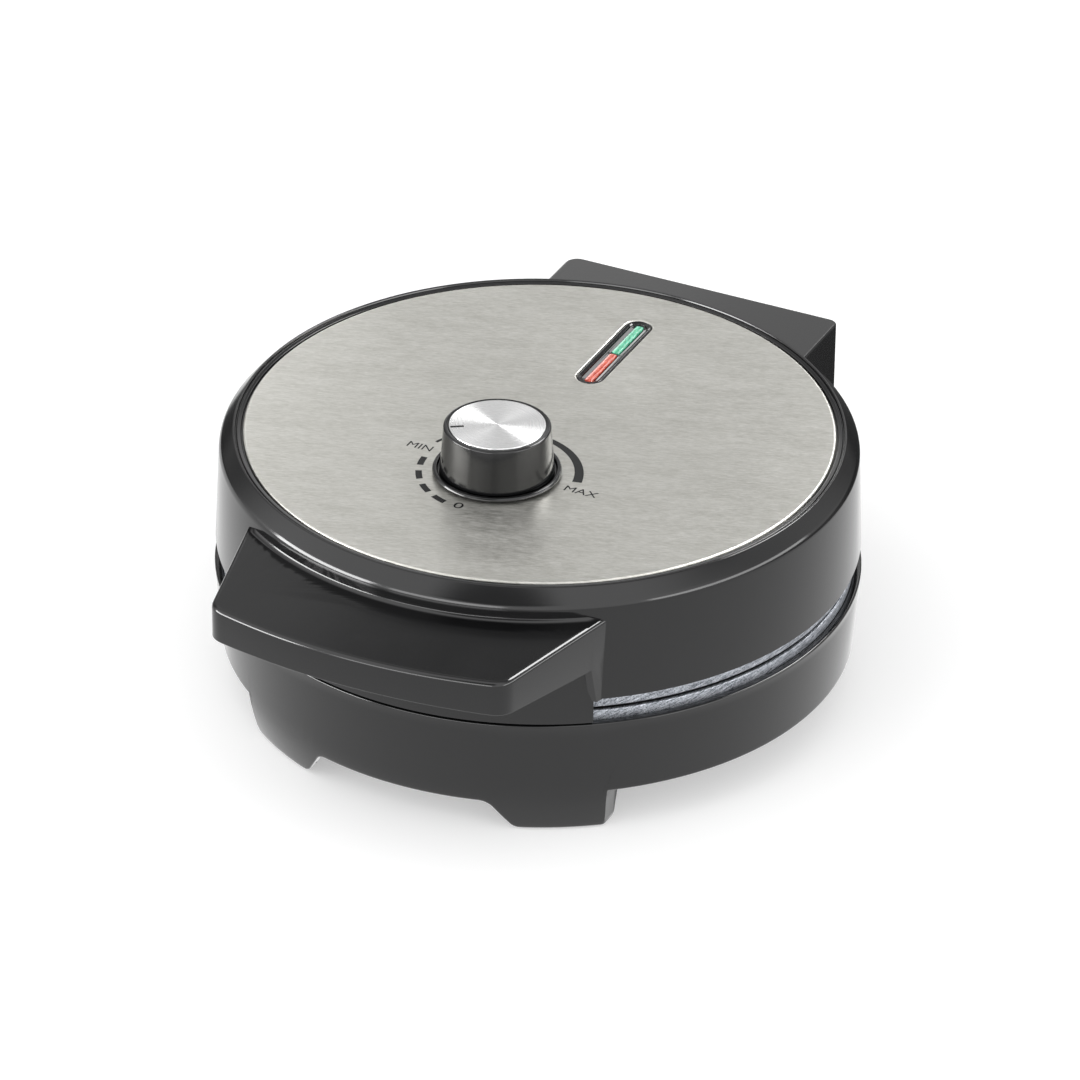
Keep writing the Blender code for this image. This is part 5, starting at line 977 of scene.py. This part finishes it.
KEPT = {
    "heating_element": SHEATH, "heat_reflector": ALUMINISED, "plate_screw": ZINC, "handle_screw": ZINC,
    "hinge_pin": ZINC, "thermostat_bracket": ZINC, "thermostat_shaft": ZINC, "foot_pad": RUBBER,
    "cord_gland": RUBBER, "lead": SLEEVE, "thermal_fuse": SLEEVE, "neon_lamp": GLASS, "lamp_holder": CREAM,
    "terminal_block": CREAM,
}
for node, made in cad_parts.items():
    found = [skin for words_in, skin in KEPT.items() if words_in in node]
    if node == "thermostat":
        found = [STEATITE]
    if found:
        made.data.materials.clear()
        made.data.materials.append(found[0])


# Studio

def camera():
    """A long lens at the photograph's angle: 25.5 degrees to the right of the front and 31 above."""
    turn, rise, roll = (math.radians(angle) for angle in (25.544148, 31.037180, 0.686086))
    back = Vector((math.sin(turn) * math.cos(rise), -math.cos(turn) * math.cos(rise), math.sin(rise)))
    right = Vector((math.cos(turn), math.sin(turn), 0))
    up = back.cross(right)
    right, up = (
        math.cos(roll) * right + math.sin(roll) * up,
        -math.sin(roll) * right + math.cos(roll) * up,
    )
    aim = Vector((30.343539, -62.287982 + AXIS_Y, PLATE_TOP))
    place = (aim + back * 2366.165347) * MM
    data = bpy.data.cameras.new("camera")
    data.sensor_width = 36.0
    data.lens = 7577.408407 / 1080 * 36
    data.clip_end = 20
    made = bpy.data.objects.new("camera", data)
    bpy.context.collection.objects.link(made)
    made.matrix_world = Matrix((
        (right.x, up.x, back.x, place.x), (right.y, up.y, back.y, place.y), (right.z, up.z, back.z, place.z),
        (0, 0, 0, 1),
    ))
    bpy.context.scene.camera = made


def softbox(name, place, aim, size, radiance, only_gloss=False):
    """A rectangular lamp that looks at a point, set by how bright its face is against white. One that is
    only for the gloss draws its line on edges and throws no shadow."""
    data = bpy.data.lights.new(name, "AREA")
    data.shape = "RECTANGLE"
    data.size, data.size_y = size
    data.energy = radiance * size[0] * size[1] * math.pi
    made = bpy.data.objects.new(name, data)
    bpy.context.collection.objects.link(made)
    made.location = place
    made.rotation_euler = (Vector(aim) - Vector(place)).to_track_quat("-Z", "Y").to_euler()
    made.visible_diffuse = not only_gloss


def flat_sheet(name, x, y, height, skin):
    """A level rectangle that belongs to the studio."""
    mesh = bpy.data.meshes.new(name)
    corners = [(x[0], y[0], height), (x[1], y[0], height), (x[1], y[1], height), (x[0], y[1], height)]
    mesh.from_pydata(corners, [], [(0, 1, 2, 3)])
    mesh.materials.append(skin)
    made = bpy.data.objects.new(name, mesh)
    bpy.context.collection.objects.link(made)
    return made


def table():
    """A matt white table top that glows a little, so that only the contact shadow shows on it, and a
    white card on it that only the gloss sees: it ends behind the appliance, where the room is dim."""
    white = linear("#ffffff")
    top, _, _ = finish("white_table", Base_Color=linear("#dcdcdc"), Roughness=0.9, Specular_IOR_Level=0.0,
                       Emission_Color=white, Emission_Strength=0.38)
    flat_sheet("table", (-6, 6), (-6, 6), 0.0, top).visible_glossy = False
    bright, _, _ = finish("white_card", Base_Color=linear("#000000"), Specular_IOR_Level=0.0,
                          Emission_Color=white, Emission_Strength=1.15)
    card = flat_sheet("card", (-3, 3), (-3, 0.2), 0.0, bright)
    card.visible_camera = card.visible_diffuse = card.visible_shadow = card.visible_transmission = False


def room():
    """The room that the lamps leave: pale in front with a dim gap over the camera, dim low behind, paler
    high behind, and dimmer below the table's height. The camera itself sees plain white."""
    world = bpy.data.worlds.new("pale_room")
    bpy.context.scene.world = world
    world.use_nodes = True
    tree = world.node_tree
    way = add(tree, "TexCoord").outputs["Generated"]
    across, along, rise = add(tree, "SeparateXYZ", n_0=way).outputs

    def eased(value, low_in, high_in, low, high):
        return add(tree, "MapRange", {"interpolation_type": "SMOOTHSTEP"},
                   n_0=value, n_1=low_in, n_2=high_in, n_3=low, n_4=high).outputs["Result"]

    gap = add(tree, "VectorMath", {"operation": "DOT_PRODUCT"}, n_0=way, n_1=(0.12, -0.74, 0.66)).outputs["Value"]
    front = eased(gap, 0.93, 0.985, 1.9, 0.4)
    low_rear, high_rear = eased(across, 0.25, 0.7, 0.28, 1.0), eased(across, -0.52, -0.22, 1.0, 0.55)
    rear = add(tree, "Mix", {"data_type": "FLOAT"}, n_0=eased(rise, 0.56, 0.68, 0.0, 1.0), n_2=low_rear, n_3=high_rear)
    behind = eased(along, -0.3, 0.3, 0.0, 1.0)
    all_round = add(tree, "Mix", {"data_type": "FLOAT"}, n_0=behind, n_2=front, n_3=rear.outputs[0]).outputs[0]
    under = eased(rise, -0.08, 0.04, 0.3, 1.0)
    dimmed = add(tree, "Math", {"operation": "MULTIPLY"}, n_0=all_round, n_1=under).outputs[0]
    seen = add(tree, "LightPath").outputs["Is Camera Ray"]
    strength = add(tree, "Mix", {"data_type": "FLOAT"}, n_0=seen, n_2=dimmed, n_3=1.0).outputs[0]
    back = tree.nodes["Background"]
    back.inputs["Color"].default_value = (1, 1, 1, 1)
    tree.links.new(strength, back.inputs["Strength"])


def studio():
    """The table, the room and the lamps: long low strips at the left, in front and at the right, which
    draw the lines along the shoulder, the handle and the steel's edge, and panels above and behind."""
    table()
    room()
    softbox("left_strip", (-0.957, -0.789, 0.3), (0, 0, 0.07), (0.92, 0.36), 17, True)
    softbox("front_strip", (-0.1, -1.3, 0.32), (0, 0, 0.07), (0.9, 0.34), 4.5, True)
    softbox("right_strip", (1.235, 0.075, 0.3), (0, 0, 0.07), (1.5, 0.3), 5, True)
    softbox("right_softbox", (0.47, 0.752, 1.03), (0, 0, 0.08), (0.6, 0.5), 18, True)
    softbox("rear_panel", (-0.5, 2.45, 1.05), (-0.5, 2.45, 0), (2.0, 1.9), 0.8)
    softbox("rear_left_panel", (-0.92, 0.95, 0.72), (-0.92, 0.95, 0), (0.9, 1.2), 0.35, True)
    for side, place in (("low", (-0.83, 1.15, 0.5)), ("high", (-0.15, 1.16, 0.95))):
        softbox(f"{side}_rear_lamp", place, (0, 0, 0.1), (0.25, 0.3), 4, True)
    bpy.context.scene.view_settings.view_transform = "Standard"


camera()
studio()
